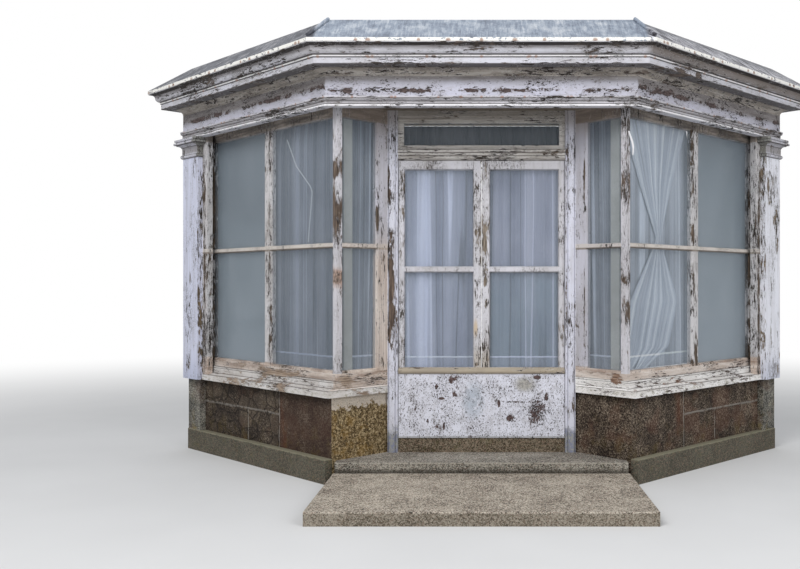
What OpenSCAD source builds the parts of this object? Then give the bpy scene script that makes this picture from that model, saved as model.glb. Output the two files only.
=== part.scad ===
// Corner shopfront bay: two splayed windows and a recessed doorway under a three-sided entablature.
// The origin is on the ground, on the centre line, below the front face of the frieze.
// +X runs to the right along the front, +Y runs into the building and +Z is up.

/* [Plan] */
// Front of the frieze, from corner to corner
front_w = 2108; // [1900:2:2400]
// Length of each splayed side of the frieze
splay_len = 2029; // [1700:1:2300]
// Angle between the front and each splay
splay_angle = 45; // [40:1:50]
// Depth from the frieze face back to the face of the building wall
wall_t = 50; // [40:1:70]
// Depth from the frieze face back to the face of the window frames
window_t = 122; // [105:1:150]
// Distance from the frieze corner along the splay to the outer face of the return window
return_s = 36; // [25:1:50]

/* [Stone] */
// Depth from the frieze face back to the face of the stallriser
stone_t = 98; // [85:1:110]
// Distance from the frieze corner along the splay to the stone of the return
stone_s = 60; // [50:1:75]
// Thickness of the stallriser walls
stone_d = 250; // [200:5:320]
// Height of the stone below the sills
stone_h = 592; // [500:1:680]
// Depth from the frieze face back to the quoin under each pilaster
pier_t = 50; // [40:1:60]
// Width of the quoin under each pilaster
pier_w = 196; // [160:1:220]
// Length of the large stone at each front corner
corner_stone_w = 662; // [500:2:800]
// Height of the top course beside it
course_h = 180; // [140:1:220]
// Length of the first stone of the lower course
lower_stone_w = 440; // [350:5:600]
// Width of the joints between the stones
joint_w = 10; // [6:1:14]
// Depth to which the joints are raked out
joint_d = 4; // [2:0.5:6]
// Projection of the kerb in front of the quoins
kerb_out = 7; // [6:1:12]
// Height of the kerb
kerb_h = 170; // [120:1:200]
// Chamfer along the top edge of the kerb
kerb_chamfer = 5; // [1:1:6]

/* [Steps] */
// Height of the lower slab
slab_h = 82; // [60:1:100]
// Width of the lower slab
slab_w = 2020; // [1800:5:2060]
// Length of the lower slab from front to back
slab_d = 1035; // [800:5:1200]
// Depth from the frieze face back to the riser of the upper step
riser_y = 60; // [40:1:70]
// Height of the upper step
step_h = 155; // [130:1:180]
// Distance from the corner of the stone in to the side of the upper step
step_in = 27; // [15:1:60]
// Height of the threshold above the step
threshold_rise = 102; // [80:1:130]
// Distance from the face of the door jambs back to the threshold
threshold_set = 18; // [10:1:30]

/* [Timber sill] */
// Height of the timber sill, from the stone to the window frames
sill_h = 161; // [140:1:180]
// Height of the nosing
nosing_h = 45; // [35:1:55]
// Projection of the nosing in front of the splay windows
nosing_out = 82; // [60:1:95]
// Projection of the nosing in front of the return windows
nosing_side_out = 12; // [8:1:16]
// Rise of the sloping top of the nosing
nosing_rise = 14; // [8:1:20]
// Projection of the lower board of the sill
sill_board_out = 15; // [12:1:20]
// Height of that board
sill_board_h = 40; // [30:1:50]
// Projection of the bead on top of it
sill_bead_out = 20; // [16:1:26]
// Height of the bead
sill_bead_h = 12; // [8:1:16]

/* [Windows] */
// Thickness of the window frames and side of the square corner posts
frame_d = 45; // [40:1:60]
// Height of the lower rail, from the sill to the glass
lower_rail_h = 18; // [12:1:30]
// Height of the window head, from the glass to the soffit
window_head_h = 99; // [80:1:120]
// Height of the centre of the cross bars
bar_z = 1640; // [1500:1:1750]
// Height of each cross bar
bar_h = 36; // [28:1:44]
// Width of the mullion in the middle of each splay window
mullion_w = 89; // [70:1:100]
// Width of the stile beside the pilaster
end_stile_w = 28; // [20:1:40]
// Width of the lining board between that stile and the pilaster's face
lining_w = 79; // [60:1:90]
// Depth from the frieze face back to the lining board
lining_t = 44; // [38:1:60]
// Thickness of the lining board
lining_thick = 46; // [30:1:55]
// Width of the bead beside the corner post
edge_stile_w = 6; // [4:1:10]
// Width of the return window's stile beside the door jamb
return_stile_w = 100; // [80:1:120]
// Depth of the glass behind the face of the frame
glass_set = 16; // [12:1:22]
// Width of the putty bevel round each pane
bevel_w = 7; // [4:1:10]
// Thickness of the glass
glass_thick = 5; // [4:1:8]
// Projection of the window board past the inside of the stallriser
board_over = 20; // [10:1:40]
// Thickness of the window boards
board_thick = 25; // [18:1:32]

/* [Doorway] */
// Half of the clear width between the door jambs
door_half = 603; // [560:1:650]
// Width of each door jamb
jamb_w = 75; // [65:1:90]
// Depth of the door jambs from front to back
jamb_d = 110; // [95:1:130]
// Clearance round the leaves
leaf_gap = 3; // [2:0.5:4]
// Thickness of the leaves
leaf_thick = 40; // [35:1:50]
// Distance from the face of the jambs back to the leaves
leaf_set = 25; // [20:1:32]
// Width of the outer stile of each leaf
leaf_stile_w = 44; // [38:1:60]
// Width of the meeting stile of each leaf
meeting_w = 60; // [50:1:75]
// Height of the top rail of the leaves
leaf_rail_h = 66; // [55:1:80]
// Height of the centre of the bar across each leaf
leaf_bar_z = 1478; // [1350:1:1600]
// Height of the bar across each leaf
leaf_bar_h = 44; // [36:1:54]
// Height of the kick board
kick_h = 463; // [400:1:500]
// Thickness of the kick board
kick_thick = 14; // [10:1:18]
// Height of the ledge moulding above the kick board
ledge_h = 45; // [36:1:55]
// Projection of the ledge moulding in front of the leaves
ledge_out = 34; // [26:1:40]
// Height of the transom
transom_h = 92; // [80:1:110]
// Height of the opening for the fanlight
fanlight_h = 181; // [150:1:210]
// Height of the door head, from the fanlight to the soffit
door_head_h = 84; // [70:1:100]
// Width of the frame round the fanlight
fan_frame_w = 16; // [12:1:24]
// Width of the upright sides of the fanlight frame
fan_stile_w = 40; // [30:1:50]

/* [Pilasters] */
// Width of each pilaster
pilaster_w = 250; // [220:1:270]
// Depth of each pilaster, from its face to the back of its post
pilaster_d = 225; // [215:1:240]
// Height of the capital
capital_h = 157; // [145:1:190]
// Projection of the capital's top
capital_out = 57; // [45:1:65]
// Height of the square top of the capital
abacus_h = 43; // [34:1:50]
// Height of the fillet under it
fillet_h = 8; // [6:1:10]
// Radius of the hollow under the fillet
hollow_r = 30; // [24:1:34]
// Height of the half-round band at the foot of the capital
astragal_h = 34; // [28:1:40]

/* [Entablature] */
// Height of the underside of the architrave
arch_z = 2567; // [2450:1:2650]
// Height of the architrave
arch_h = 71; // [64:1:85]
// Projection of the fillet at the top of the architrave
arch_out = 17.5; // [15:0.5:21]
// Height of the frieze
frieze_h = 134; // [110:1:160]
// Height of the cove and the soffit of the cornice above the frieze
cove_h = 53; // [45:1:60]
// Height of the step between the cove and the soffit of the cornice
cove_step = 8; // [5:1:12]
// Projection of the cornice fascia
fascia_out = 130; // [115:1:150]
// Height of the cornice fascia
fascia_h = 43; // [35:1:50]
// Radius of the bead above the fascia
bead_r = 8.5; // [6:0.5:10]
// Radius of each half of the crown moulding
crown_r = 31; // [26:0.5:34]
// Projection of the nosing past the crown moulding
crown_lip = 9; // [6:1:12]
// Height of the nosing of the cornice
lip_h = 32; // [26:1:40]
// Rise of the sloping top from the nosing to the wall
roof_rise = 188; // [150:1:220]
// Thickness of the lead
lead_thick = 4; // [3:0.5:6]
// Depth of the lead's edge turned down over the nosing
lead_drip = 20; // [15:1:25]
// Radius of the rolls along the hips
roll_r = 12; // [9:1:16]
// Thickness of the soffit boards
soffit_thick = 15; // [12:1:20]
// Height of the soffit above the underside of the architrave
soffit_up = 58; // [50:1:64]
// Width of the beam behind the frieze
beam_w = 220; // [180:5:260]
// Height of the beam behind the frieze
beam_h = 350; // [300:10:420]

/* [Inside the windows] */
// Side of the square storey posts behind the front corners
storey_post_w = 75; // [65:1:100]
// Distance from the curtains back to the storey posts
storey_post_gap = 7; // [4:1:15]
// Thickness of the screens behind the outer panes
screen_thick = 6; // [4:1:9]
// Thickness of the hanging folds
curtain_d = 24; // [16:1:30]
// Distance from the back of the window frames to the middle of the folds
curtain_back = 26; // [20:1:30]
// Distance from the back of the leaves to the middle of the folds
door_curtain_back = 22; // [18:1:26]
// Radius of the curtain rods
rod_r = 6; // [5:0.5:8]
// Height of the rods above the top of the glass
rod_rise = 20; // [12:1:30]
// Clearance of the fanlight's rod below the door head
rod_clear = 1; // [0.5:0.5:3]
// Height of the foot of the curtains below the glass
curtain_drop = 6; // [0:1:12]

/* [Hidden] */
$fn = 32;

// Reach of a cut past the face that it cuts
past = 1;

// Plan
mitre = tan(splay_angle / 2);
corner_x = front_w / 2;
pilaster_s = splay_len - pilaster_w;
pier_s = splay_len - pier_w;
kerb_t = pier_t - kerb_out;
frame_t = window_t + frame_d;
frame_s = return_s + frame_d;
inner_t = stone_t + stone_d;
inner_s = stone_s + stone_d;
jamb_x = door_half + jamb_w;
// Depth along the return at which its window face meets the outside of the door jamb
return_t = (corner_x + return_s * cos(splay_angle) - jamb_x) / sin(splay_angle);
door_y = return_s * sin(splay_angle) + return_t * cos(splay_angle);
door_back = door_y + jamb_d;
leaf_y = door_y + leaf_set;
leaf_back = leaf_y + leaf_thick;

// Heights, from the steps up to the roof
threshold_h = step_h + threshold_rise;
kick_z = threshold_h + leaf_gap;
kick_top = kick_z + kick_h;
nose_z = stone_h + nosing_h;
frame_z = stone_h + sill_h;
glass_z0 = frame_z + lower_rail_h;
board_z = stone_h + board_thick;
capital_z = arch_z - capital_h;
frieze_z = arch_z + arch_h;
cornice_z = frieze_z + frieze_h;
soffit_z = arch_z + soffit_up;
glass_z1 = soffit_z - window_head_h;
head_z = soffit_z - door_head_h;
transom_top = head_z - fanlight_h;
transom_z = transom_top - transom_h;
leaf_top = transom_z - leaf_gap;
beam_z = soffit_z + soffit_thick;
corona_z = cornice_z + cove_h;
crown_z = corona_z + fascia_h + 2 * bead_r;
lip_z = crown_z + 2 * crown_r;
nose_top = lip_z + lip_h - lead_thick;
wall_top = nose_top + roof_rise;

// Projections of the sill and the cornice
nose_t = window_t - nosing_out;
crown_out = fascia_out + 2 * crown_r + bead_r / 2;
nose_out = crown_out + crown_lip;

// Panes, each as where it begins and ends
glass_t = window_t + glass_set;
pane_s0 = frame_s + edge_stile_w;
pane_s1 = pilaster_s - end_stile_w;
pane_w = (pane_s1 - pane_s0 - mullion_w) / 2;
splay_panes = [for (i = [0, 1]) let (x = pane_s0 + i * (pane_w + mullion_w)) [x, x + pane_w]];
return_pane = [frame_t + edge_stile_w, return_t - return_stile_w];
window_panes = [[glass_z0, bar_z - bar_h / 2], [bar_z + bar_h / 2, glass_z1]];
leaf_x0 = leaf_gap / 2;
leaf_x1 = door_half - leaf_gap;
leaf_pane_x = [leaf_x0 + meeting_w, leaf_x1 - leaf_stile_w];
leaf_glass_z0 = kick_top + ledge_h;
leaf_glass_z1 = leaf_top - leaf_rail_h;
leaf_panes = [
  [leaf_glass_z0, leaf_bar_z - leaf_bar_h / 2], [leaf_bar_z + leaf_bar_h / 2, leaf_glass_z1]
];
fanlight_x = [fan_stile_w - door_half, door_half - fan_stile_w];
fanlight_zs = [transom_top + fan_frame_w, head_z - fan_frame_w / 4];

// Curtains, rods and posts
mullion_s = splay_panes[1][0] - mullion_w / 2;
curtain_t = frame_t + curtain_back;
curtain_s = frame_s + curtain_back;
curtain_y = leaf_back + door_curtain_back;
post_t0 = curtain_t + curtain_d / 2 + storey_post_gap;
post_t1 = post_t0 + storey_post_w;
rod_z = glass_z1 + rod_rise;
door_rod_z = leaf_glass_z1 + rod_rise;
fan_rod_z = head_z - rod_clear - rod_r;
curtain_z = glass_z0 - curtain_drop;
// The cloth stops just clear of its rod and of the posts beside it
cloth_gap = 0.3;

// Plan position of a point s along the right splay and t behind the frieze face
function at(s, t) = [
  corner_x + s * cos(splay_angle) - t * sin(splay_angle),
  s * sin(splay_angle) + t * cos(splay_angle)
];
// Depth t at which the line s meets a plane x = const, or y = const
function t_at_x(s, x) = (corner_x + s * cos(splay_angle) - x) / sin(splay_angle);
function t_at_y(s, y) = (y - s * sin(splay_angle)) / cos(splay_angle);
function to_x(s, x) = at(s, t_at_x(s, x));
function to_y(s, y) = at(s, t_at_y(s, y));
// Points of an arc in a profile
function arc(x, z, r, a0, a1, n = 6) = [
  for (i = [0:n]) [x + r * cos(a0 + (a1 - a0) * i / n), z + r * sin(a0 + (a1 - a0) * i / n)]
];
function mirrored(points) = [for (i = [len(points) - 1:-1:0]) [-points[i][0], points[i][1]]];

// Turns the right-hand piece into the left-hand one
module left() {
  mirror([1, 0, 0]) children();
}
// Frame of the right splay: x along it, y into the building
module splay() {
  translate([corner_x, 0, 0]) rotate([0, 0, splay_angle]) children();
}
// Turns depth behind the frieze face into x and distance along the splay into y
module return_face() {
  splay() rotate([0, 0, 90]) mirror([0, 1, 0]) children();
}
// Upright prism on a plan outline
module prism(points, z0, z1) {
  translate([0, 0, z0]) linear_extrude(z1 - z0) polygon(points);
}
// Box between two corners
module block(x0, x1, y0, y1, z0, z1) {
  translate([x0, y0, z0]) cube([x1 - x0, y1 - y0, z1 - z0]);
}
// A profile of depth and height, run along X
module along_x(length) {
  rotate([90, 0, 90]) linear_extrude(length) children();
}
function unit(v) = v / norm(v);
// Outward side of a plan line from a to b, which lies to its right
function outward(a, b) = let (d = unit(b - a)) [d[1], -d[0]];
// Corner i of a plan path, moved out by u along its mitre
function mitre_point(path, i, u) = let (
  last = len(path) - 1,
  n0 = outward(path[max(i - 1, 0)], path[max(i, 1)]),
  n1 = outward(path[min(i, last - 1)], path[min(i + 1, last)])
) path[i] + u * (n0 + n1) / (1 + n0 * n1);
function without_repeats(points) = [
  for (i = [0:len(points) - 1])
    if (norm(points[i] - points[(i + 1) % len(points)]) > 0.001) points[i]
];
// A profile of depth and height, mitred along a plan path.
// front and back are the depths of its foremost and rearmost points.
module moulding(path, front, back) {
  margin = max(abs(front), abs(back));
  out = past - front;
  for (i = [0:len(path) - 2]) {
    a = path[i];
    run = path[i + 1] - a;
    // Where the end of the path falls on a mitre, the point of the mitre is the one kept
    outer = i == 0 ? 0 : i + 1;
    inner = i == 0 ? 1 : i;
    intersection() {
      translate([a[0], a[1], 0]) rotate([0, 0, atan2(run[1], run[0])])
        translate([-margin, 0, 0]) along_x(norm(run) + 2 * margin) children();
      prism(without_repeats([
        mitre_point(path, inner, out), mitre_point(path, outer, out),
        mitre_point(path, outer, -back), mitre_point(path, inner, -back)
      ]), 0, 2 * cornice_z);
    }
  }
}
half_path = [[corner_x, 0], at(splay_len, 0), at(splay_len, wall_t)];
frieze_path = concat(mirrored(half_path), half_path);

// Large slab in front of the step
module lower_slab() {
  color("tan") block(-slab_w / 2, slab_w / 2, riser_y - slab_d, riser_y, 0, slab_h);
}

// Step that fills the recess, between the returns of the stallrisers
module upper_step() {
  half = at(stone_s, stone_t)[0] - step_in;
  side = [
    [half, riser_y], to_x(stone_s, half), to_x(stone_s, jamb_x), [jamb_x, door_back]
  ];
  color("dimgray") prism(concat(side, mirrored(side)), 0, step_h);
}

// Raised stone under the doors
module threshold() {
  color("gray") block(-door_half, door_half, door_y + threshold_set, door_back, step_h, threshold_h);
}

// Stone wall below the right splay window and its return, with its joints raked out
module stallriser() {
  joint_s = stone_s + corner_stone_w;
  joint_z = stone_h - course_h;
  color("dimgray") difference() {
    prism([
      at(stone_s, stone_t), at(pier_s, stone_t), at(pier_s, inner_t), at(inner_s, inner_t),
      to_y(inner_s, door_back), [jamb_x, door_back], to_x(stone_s, jamb_x)
    ], 0, stone_h);
    splay() {
      stone_joint(joint_s, joint_s + joint_w, kerb_h, stone_h + past);
      stone_joint(joint_s, pier_s - joint_w, joint_z - joint_w, joint_z);
      stone_joint(joint_s + lower_stone_w, joint_s + lower_stone_w + joint_w, kerb_h, joint_z);
    }
  }
}
module stone_joint(s0, s1, z0, z1) {
  block(s0, s1, stone_t - joint_d, stone_t + joint_d, z0, z1);
}

// Low kerb along the foot of the right stallriser and pier
module kerb() {
  color("darkgray") splay() {
    kerb_run(stone_s, pier_s, stone_t);
    kerb_run(pier_s, splay_len, pier_t);
  }
}
module kerb_run(s0, s1, back) {
  translate([s0, 0, 0]) along_x(s1 - s0) polygon([
    [back, 0], [kerb_t, 0], [kerb_t, kerb_h - kerb_chamfer], [kerb_t + kerb_chamfer, kerb_h],
    [back, kerb_h]
  ]);
}

// Stone quoin that carries the right pilaster
module pier() {
  color("gray") splay() block(pier_s, splay_len, pier_t, inner_t, 0, stone_h);
}

// Moulded timber sill: a board and a bead above a nosing that is mitred round the corner
module sill() {
  rise_z = nose_z + nosing_rise;
  board_top = rise_z + sill_board_h;
  bead_r = sill_bead_h / 2;
  front = concat(
    [[frame_d, stone_h], [-nosing_out, stone_h], [-nosing_out, nose_z],
     [-sill_board_out, rise_z], [-sill_board_out, board_top]],
    arc(bead_r - sill_bead_out, board_top + bead_r, bead_r, 270, 90),
    [[0, board_top + sill_bead_h], [0, frame_z], [frame_d, frame_z]]
  );
  side = [
    [frame_d, stone_h], [-nosing_side_out, stone_h], [-nosing_side_out, nose_z], [0, rise_z],
    [0, frame_z], [frame_d, frame_z]
  ];
  ratio = nosing_side_out / nosing_out;
  // The cuts stand clear of the faces of the profiles, and share only the mitre
  clear = frame_d / 2;
  mitre_out = at(return_s - (nosing_out + clear) * ratio, nose_t - clear);
  mitre_in = [return_s + clear * ratio, window_t + clear];
  color("antiquewhite") {
    intersection() {
      splay() translate([0, window_t, 0]) along_x(pilaster_s) polygon(front);
      prism([
        mitre_out, at(pilaster_s + clear, nose_t - clear), at(pilaster_s + clear, frame_t + clear),
        at(mitre_in[0], frame_t + clear), at(mitre_in[0], mitre_in[1])
      ], 0, frame_z + clear);
    }
    intersection() {
      return_face() translate([0, return_s, 0]) along_x(2 * return_t) polygon(side);
      prism([
        mitre_out, at(mitre_in[0], mitre_in[1]), at(frame_s + clear, mitre_in[1]),
        to_x(frame_s + clear, jamb_x), to_x(return_s - clear, jamb_x)
      ], 0, frame_z + clear);
    }
  }
}

// Square post at the front corner
module corner_post() {
  color("antiquewhite") splay()
    block(return_s, frame_s, window_t, frame_t, frame_z, soffit_z);
}

// Opening for one pane, bevelled from the glass out to the face of the frame
module pane_opening(x, z, face, glass, back) {
  spread = bevel_w * (glass - face + past) / (glass - face);
  block(x[0], x[1], face - past, back + past, z[0], z[1]);
  intersection() {
    prism([
      [x[0] - spread, face - past], [x[1] + spread, face - past], [x[1], glass], [x[0], glass]
    ], z[0] - spread, z[1] + spread);
    translate([x[0] - spread, 0, 0]) along_x(x[1] - x[0] + 2 * spread) polygon([
      [face - past, z[0] - spread], [glass, z[0]], [glass, z[1]], [face - past, z[1] + spread]
    ]);
  }
}

// Frame of the right splay window, with the lining board beside the pilaster.
// The board is cut to the slope of the nosing, and notched round the architrave.
module splay_frame() {
  lining_back = lining_t + lining_thick;
  slope = nosing_rise / (nosing_out - sill_board_out);
  color("white") splay() {
    difference() {
      block(frame_s, pilaster_s, window_t, frame_t, frame_z, soffit_z);
      for (x = splay_panes, z = window_panes) pane_opening(x, z, window_t, glass_t, frame_t);
    }
    block(pane_s1, pilaster_s, lining_back, window_t, frame_z, soffit_z);
    translate([pilaster_s - lining_w, 0, 0]) along_x(lining_w) polygon([
      [lining_t, nose_z + (lining_t - nose_t) * slope],
      [lining_back, nose_z + (lining_back - nose_t) * slope],
      [lining_back, soffit_z], [wall_t, soffit_z], [wall_t, arch_z], [lining_t, arch_z]
    ]);
  }
}
// Four panes of the right splay window
module splay_glass() {
  color("lightblue", 0.5) splay() for (x = splay_panes, z = window_panes)
    block(x[0], x[1], glass_t, glass_t + glass_thick, z[0], z[1]);
}

// Frame of the right return window, up to the door jamb
module return_frame() {
  color("white") difference() {
    prism([
      at(return_s, frame_t), [jamb_x, door_y], to_x(frame_s, jamb_x), at(frame_s, frame_t)
    ], frame_z, soffit_z);
    return_face() for (z = window_panes)
      pane_opening(return_pane, z, return_s, return_s + glass_set, frame_s);
  }
}
// Two panes in each return window
module return_glass() {
  x = return_s + glass_set;
  color("lightblue", 0.5) for (side = [0, 1]) mirror([side, 0, 0]) splay() for (z = window_panes)
    block(x, x + glass_thick, return_pane[0], return_pane[1], z[0], z[1]);
}

// Moulded post at the right of the doorway: a bead, a flat and a sunk edge
module door_jamb() {
  bead = jamb_w / 8;
  groove = jamb_w / 15;
  x = door_half + 2 * bead + groove;
  color("white") prism(concat(
    [[door_half, door_back]], arc(door_half + bead, door_y + bead, bead, 180, 360),
    [[x, door_y + bead], [x, door_y + groove / 2], [jamb_x - 2 * groove, door_y + groove / 2],
     [jamb_x - 2 * groove, door_y + 2 * groove], [jamb_x - groove, door_y + 2 * groove],
     [jamb_x - groove, door_y], [jamb_x, door_y], [jamb_x, door_back]]
  ), step_h, soffit_z);
}

// Board above the fanlight, moulded along its lower edge
module door_head() {
  m = door_head_h / 7;
  color("white") translate([-door_half, 0, 0]) along_x(2 * door_half) polygon(concat(
    [[door_back, head_z], [door_y + 2 * m, head_z], [door_y + 2 * m, head_z + m]],
    arc(door_y + 2 * m, head_z + 2 * m, m, 270, 180),
    [[door_y + m, head_z + 3 * m], [door_y + m / 2, head_z + 3.5 * m], [door_y + m / 2, soffit_z],
     [door_back, soffit_z]]
  ));
}

// Moulded rail between the leaves and the fanlight
module transom() {
  m = transom_h / 8;
  color("white") translate([-door_half, 0, 0]) along_x(2 * door_half) polygon(concat(
    [[door_back, transom_z], [door_y + 1.5 * m, transom_z]],
    arc(door_y + 1.5 * m, transom_z + m, m, 270, 90),
    [[door_y + m, transom_z + 2 * m], [door_y + m, transom_z + 4 * m],
     [door_y + m / 3, transom_z + 5 * m], [door_y + m / 3, transom_top - 1.5 * m],
     [door_y + 1.5 * m, transom_top], [door_back, transom_top]]
  ));
}

// Frame that holds the fanlight
module fanlight_frame() {
  color("white") difference() {
    block(-door_half, door_half, leaf_y, leaf_back, transom_top, head_z);
    block(fanlight_x[0], fanlight_x[1], leaf_y - past, leaf_back + past,
          fanlight_zs[0], fanlight_zs[1]);
  }
}
module fanlight_glass() {
  y = leaf_y + glass_set;
  color("lightblue", 0.5)
    block(fanlight_x[0], fanlight_x[1], y, y + glass_thick, fanlight_zs[0], fanlight_zs[1]);
}

// Right leaf: two stiles, a top rail, a bar and a panel behind the kick board
module door_leaf() {
  color("white") difference() {
    block(leaf_x0, leaf_x1, leaf_y, leaf_back, threshold_h, leaf_top);
    for (z = leaf_panes) pane_opening(leaf_pane_x, z, leaf_y, leaf_y + glass_set, leaf_back);
    block(leaf_pane_x[0], leaf_pane_x[1], leaf_y + leaf_thick / 2, leaf_back + past,
          threshold_h + 2 * leaf_rail_h, kick_top - leaf_rail_h);
  }
}
// Two panes in each leaf
module door_glass() {
  y = leaf_y + glass_set;
  color("lightblue", 0.5) for (side = [0, 1], z = leaf_panes) mirror([side, 0, 0])
    block(leaf_pane_x[0], leaf_pane_x[1], y, y + glass_thick, z[0], z[1]);
}

// Board across the bottom of both leaves
module kick_board() {
  color("white") block(-leaf_x1, leaf_x1, leaf_y - kick_thick, leaf_y, kick_z, kick_top);
}
// Rounded ledge above the kick board, from jamb to jamb
module ledge_moulding() {
  r = ledge_h / 2;
  front = leaf_y - ledge_out;
  color("tan") translate([-leaf_x1, 0, 0]) along_x(2 * leaf_x1) polygon(concat(
    [[leaf_y, kick_top]], arc(front + r, kick_top + r, r, 270, 180),
    [[front, kick_top + 3 * ledge_h / 5], [leaf_y, kick_top + ledge_h]]
  ));
}

// Post behind the right pilaster and its plain shaft
module pilaster() {
  color("white") splay() {
    block(pilaster_s, splay_len, 0, pilaster_d, stone_h, arch_z);
    block(pilaster_s, splay_len, wall_t, pilaster_d, arch_z, soffit_z);
  }
}

// Capital round the right pilaster: astragal, neck, hollow, fillet and a grooved abacus
module capital() {
  abacus_z = arch_z - abacus_h;
  hollow_z = abacus_z - fillet_h - hollow_r;
  bead = astragal_h / 2;
  neck = capital_out / 10;
  hollow_out = neck + hollow_r;
  fillet_out = hollow_out + fillet_h / 2;
  groove_out = 3 * capital_out / 4;
  top_out = 9 * capital_out / 10;
  band_h = 2 * abacus_h / 5;
  color("white") splay() moulding(
    [[pilaster_s, lining_t], [pilaster_s, 0], [splay_len, 0], [splay_len, wall_t]], -capital_out, 0
  ) polygon(concat(
    [[0, capital_z]], arc(0, capital_z + bead, bead, 270, acos(-neck / bead)),
    arc(-hollow_out, hollow_z, hollow_r, 0, 90),
    [[-fillet_out, hollow_z + hollow_r], [-fillet_out, abacus_z],
     [-capital_out, abacus_z], [-capital_out, abacus_z + band_h],
     [-groove_out, abacus_z + band_h], [-groove_out, arch_z - band_h],
     [-top_out, arch_z - band_h], [-top_out, arch_z], [0, arch_z]]
  ));
}

// Architrave: a bead at the foot, a flat, a smaller bead and a fillet
module architrave() {
  bead = arch_h / 9;
  small_bead = arch_h / 11;
  flat_z = arch_z + 2 * bead;
  fillet_z = frieze_z - arch_h / 5;
  small_out = arch_out - 5 * small_bead / 4;
  color("white") moulding(frieze_path, -arch_out, wall_t) polygon(concat(
    [[wall_t, arch_z]], arc(-bead, arch_z + bead, bead, 270, 90),
    [[-bead / 2, flat_z], [-bead / 2, flat_z + arch_h / 3]],
    arc(-small_out, fillet_z - small_bead, small_bead, 270, 90),
    [[-arch_out, fillet_z], [-arch_out, frieze_z], [wall_t, frieze_z]]
  ));
}

// Plain frieze
module frieze() {
  color("white") moulding(frieze_path, 0, wall_t)
    polygon([[wall_t, frieze_z], [0, frieze_z], [0, cornice_z], [wall_t, cornice_z]]);
}

// Cornice: cove, fascia, bead, crown moulding and nosing under a sloping top
module cornice() {
  r = cove_h - cove_step;
  color("white") moulding(frieze_path, -nose_out, wall_t) polygon(concat(
    [[wall_t, cornice_z]], arc(-r, cornice_z, r, 0, 90),
    [[-r, corona_z], [-fascia_out, corona_z], [-fascia_out, corona_z + fascia_h]],
    arc(-fascia_out, corona_z + fascia_h + bead_r, bead_r, 270, 90),
    arc(-fascia_out - bead_r / 2, crown_z + crown_r, crown_r, 270, 180),
    arc(-crown_out, crown_z + crown_r, crown_r, 0, 90),
    [[-nose_out, lip_z], [-nose_out, nose_top], [wall_t, wall_top]]
  ));
}

// Lead over the sloping top, turned down over the nosing, with a roll on each hip
module lead_roof() {
  slope = roof_rise / (nose_out + wall_t);
  foot = roll_r - nose_out;
  low = [corner_x - foot * mitre, foot, nose_top + lead_thick + roll_r * slope];
  high = [corner_x - wall_t * mitre, wall_t, wall_top + lead_thick];
  hip = high - low;
  plan_run = [hip[0], hip[1]];
  color("slategray") {
    moulding(frieze_path, -nose_out - lead_thick, wall_t) polygon([
      [-nose_out, nose_top - lead_drip], [-nose_out - lead_thick, nose_top - lead_drip],
      [-nose_out - lead_thick, nose_top + lead_thick], [wall_t, wall_top + lead_thick],
      [wall_t, wall_top], [-nose_out, nose_top]
    ]);
    for (side = [0, 1]) mirror([side, 0, 0]) translate(low)
      rotate([0, atan2(norm(plan_run), hip[2]), atan2(hip[1], hip[0])])
        translate([lead_thick / 2 - roll_r, 0, 0]) cylinder(r = roll_r, h = norm(hip) - roll_r);
  }
}

// Boards over the recess, the windows and the door head
module soffit() {
  side = [
    [corner_x - wall_t * mitre, wall_t], at(splay_len, wall_t), at(splay_len, pilaster_d),
    at(frame_s, pilaster_d), to_y(frame_s, door_back)
  ];
  color("rosybrown") prism(concat(side, mirrored(side)), soffit_z, soffit_z + soffit_thick);
}

// Beam behind the frieze, across the front and the splays
module bressummer() {
  t = wall_t + beam_w;
  side = [
    [corner_x - wall_t * mitre, wall_t], at(splay_len, wall_t), at(splay_len, t),
    [corner_x - t * mitre, t]
  ];
  color("sienna") prism(concat(side, mirrored(side)), beam_z, beam_z + beam_h);
}

// Posts inside the front corners, from the window boards up to the soffit
module storey_posts() {
  color("gainsboro") for (side = [0, 1]) mirror([side, 0, 0]) splay()
    block(frame_s, frame_s + storey_post_w, post_t0, post_t1, board_z, soffit_z);
}

// Boards on top of the stallrisers, inside the windows
module window_boards() {
  color("burlywood") for (side = [0, 1]) mirror([side, 0, 0]) prism([
    at(frame_s, frame_t), at(pilaster_s, frame_t), at(pilaster_s, inner_t + board_over),
    at(inner_s + board_over, inner_t + board_over), to_y(inner_s + board_over, door_back),
    [jamb_x, door_back], to_x(frame_s, jamb_x)
  ], stone_h, board_z);
}

// Screens behind the outer pane of each splay window
module window_screens() {
  color("lightslategray") for (side = [0, 1]) mirror([side, 0, 0]) splay()
    block(mullion_s, pilaster_s, frame_t, frame_t + screen_thick, board_z, soffit_z);
}

module rod_x(x0, x1, y, z) {
  translate([x0, y, z]) rotate([0, 90, 0]) cylinder(r = rod_r, h = x1 - x0);
}
// Rods behind the splays, the returns, the leaves and the fanlight
module curtain_rods() {
  color("gainsboro") {
    for (side = [0, 1]) mirror([side, 0, 0]) {
      splay() rod_x(frame_s, pilaster_s, curtain_t, rod_z);
      intersection() {
        splay() translate([curtain_s, post_t1, rod_z]) rotate([-90, 0, 0])
          cylinder(r = rod_r, h = return_t);
        block(jamb_x, corner_x, 0, door_back + jamb_d, 0, soffit_z);
      }
    }
    rod_x(-door_half, door_half, curtain_y, door_rod_z);
    rod_x(-door_half, door_half, curtain_y, fan_rod_z);
  }
}
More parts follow.
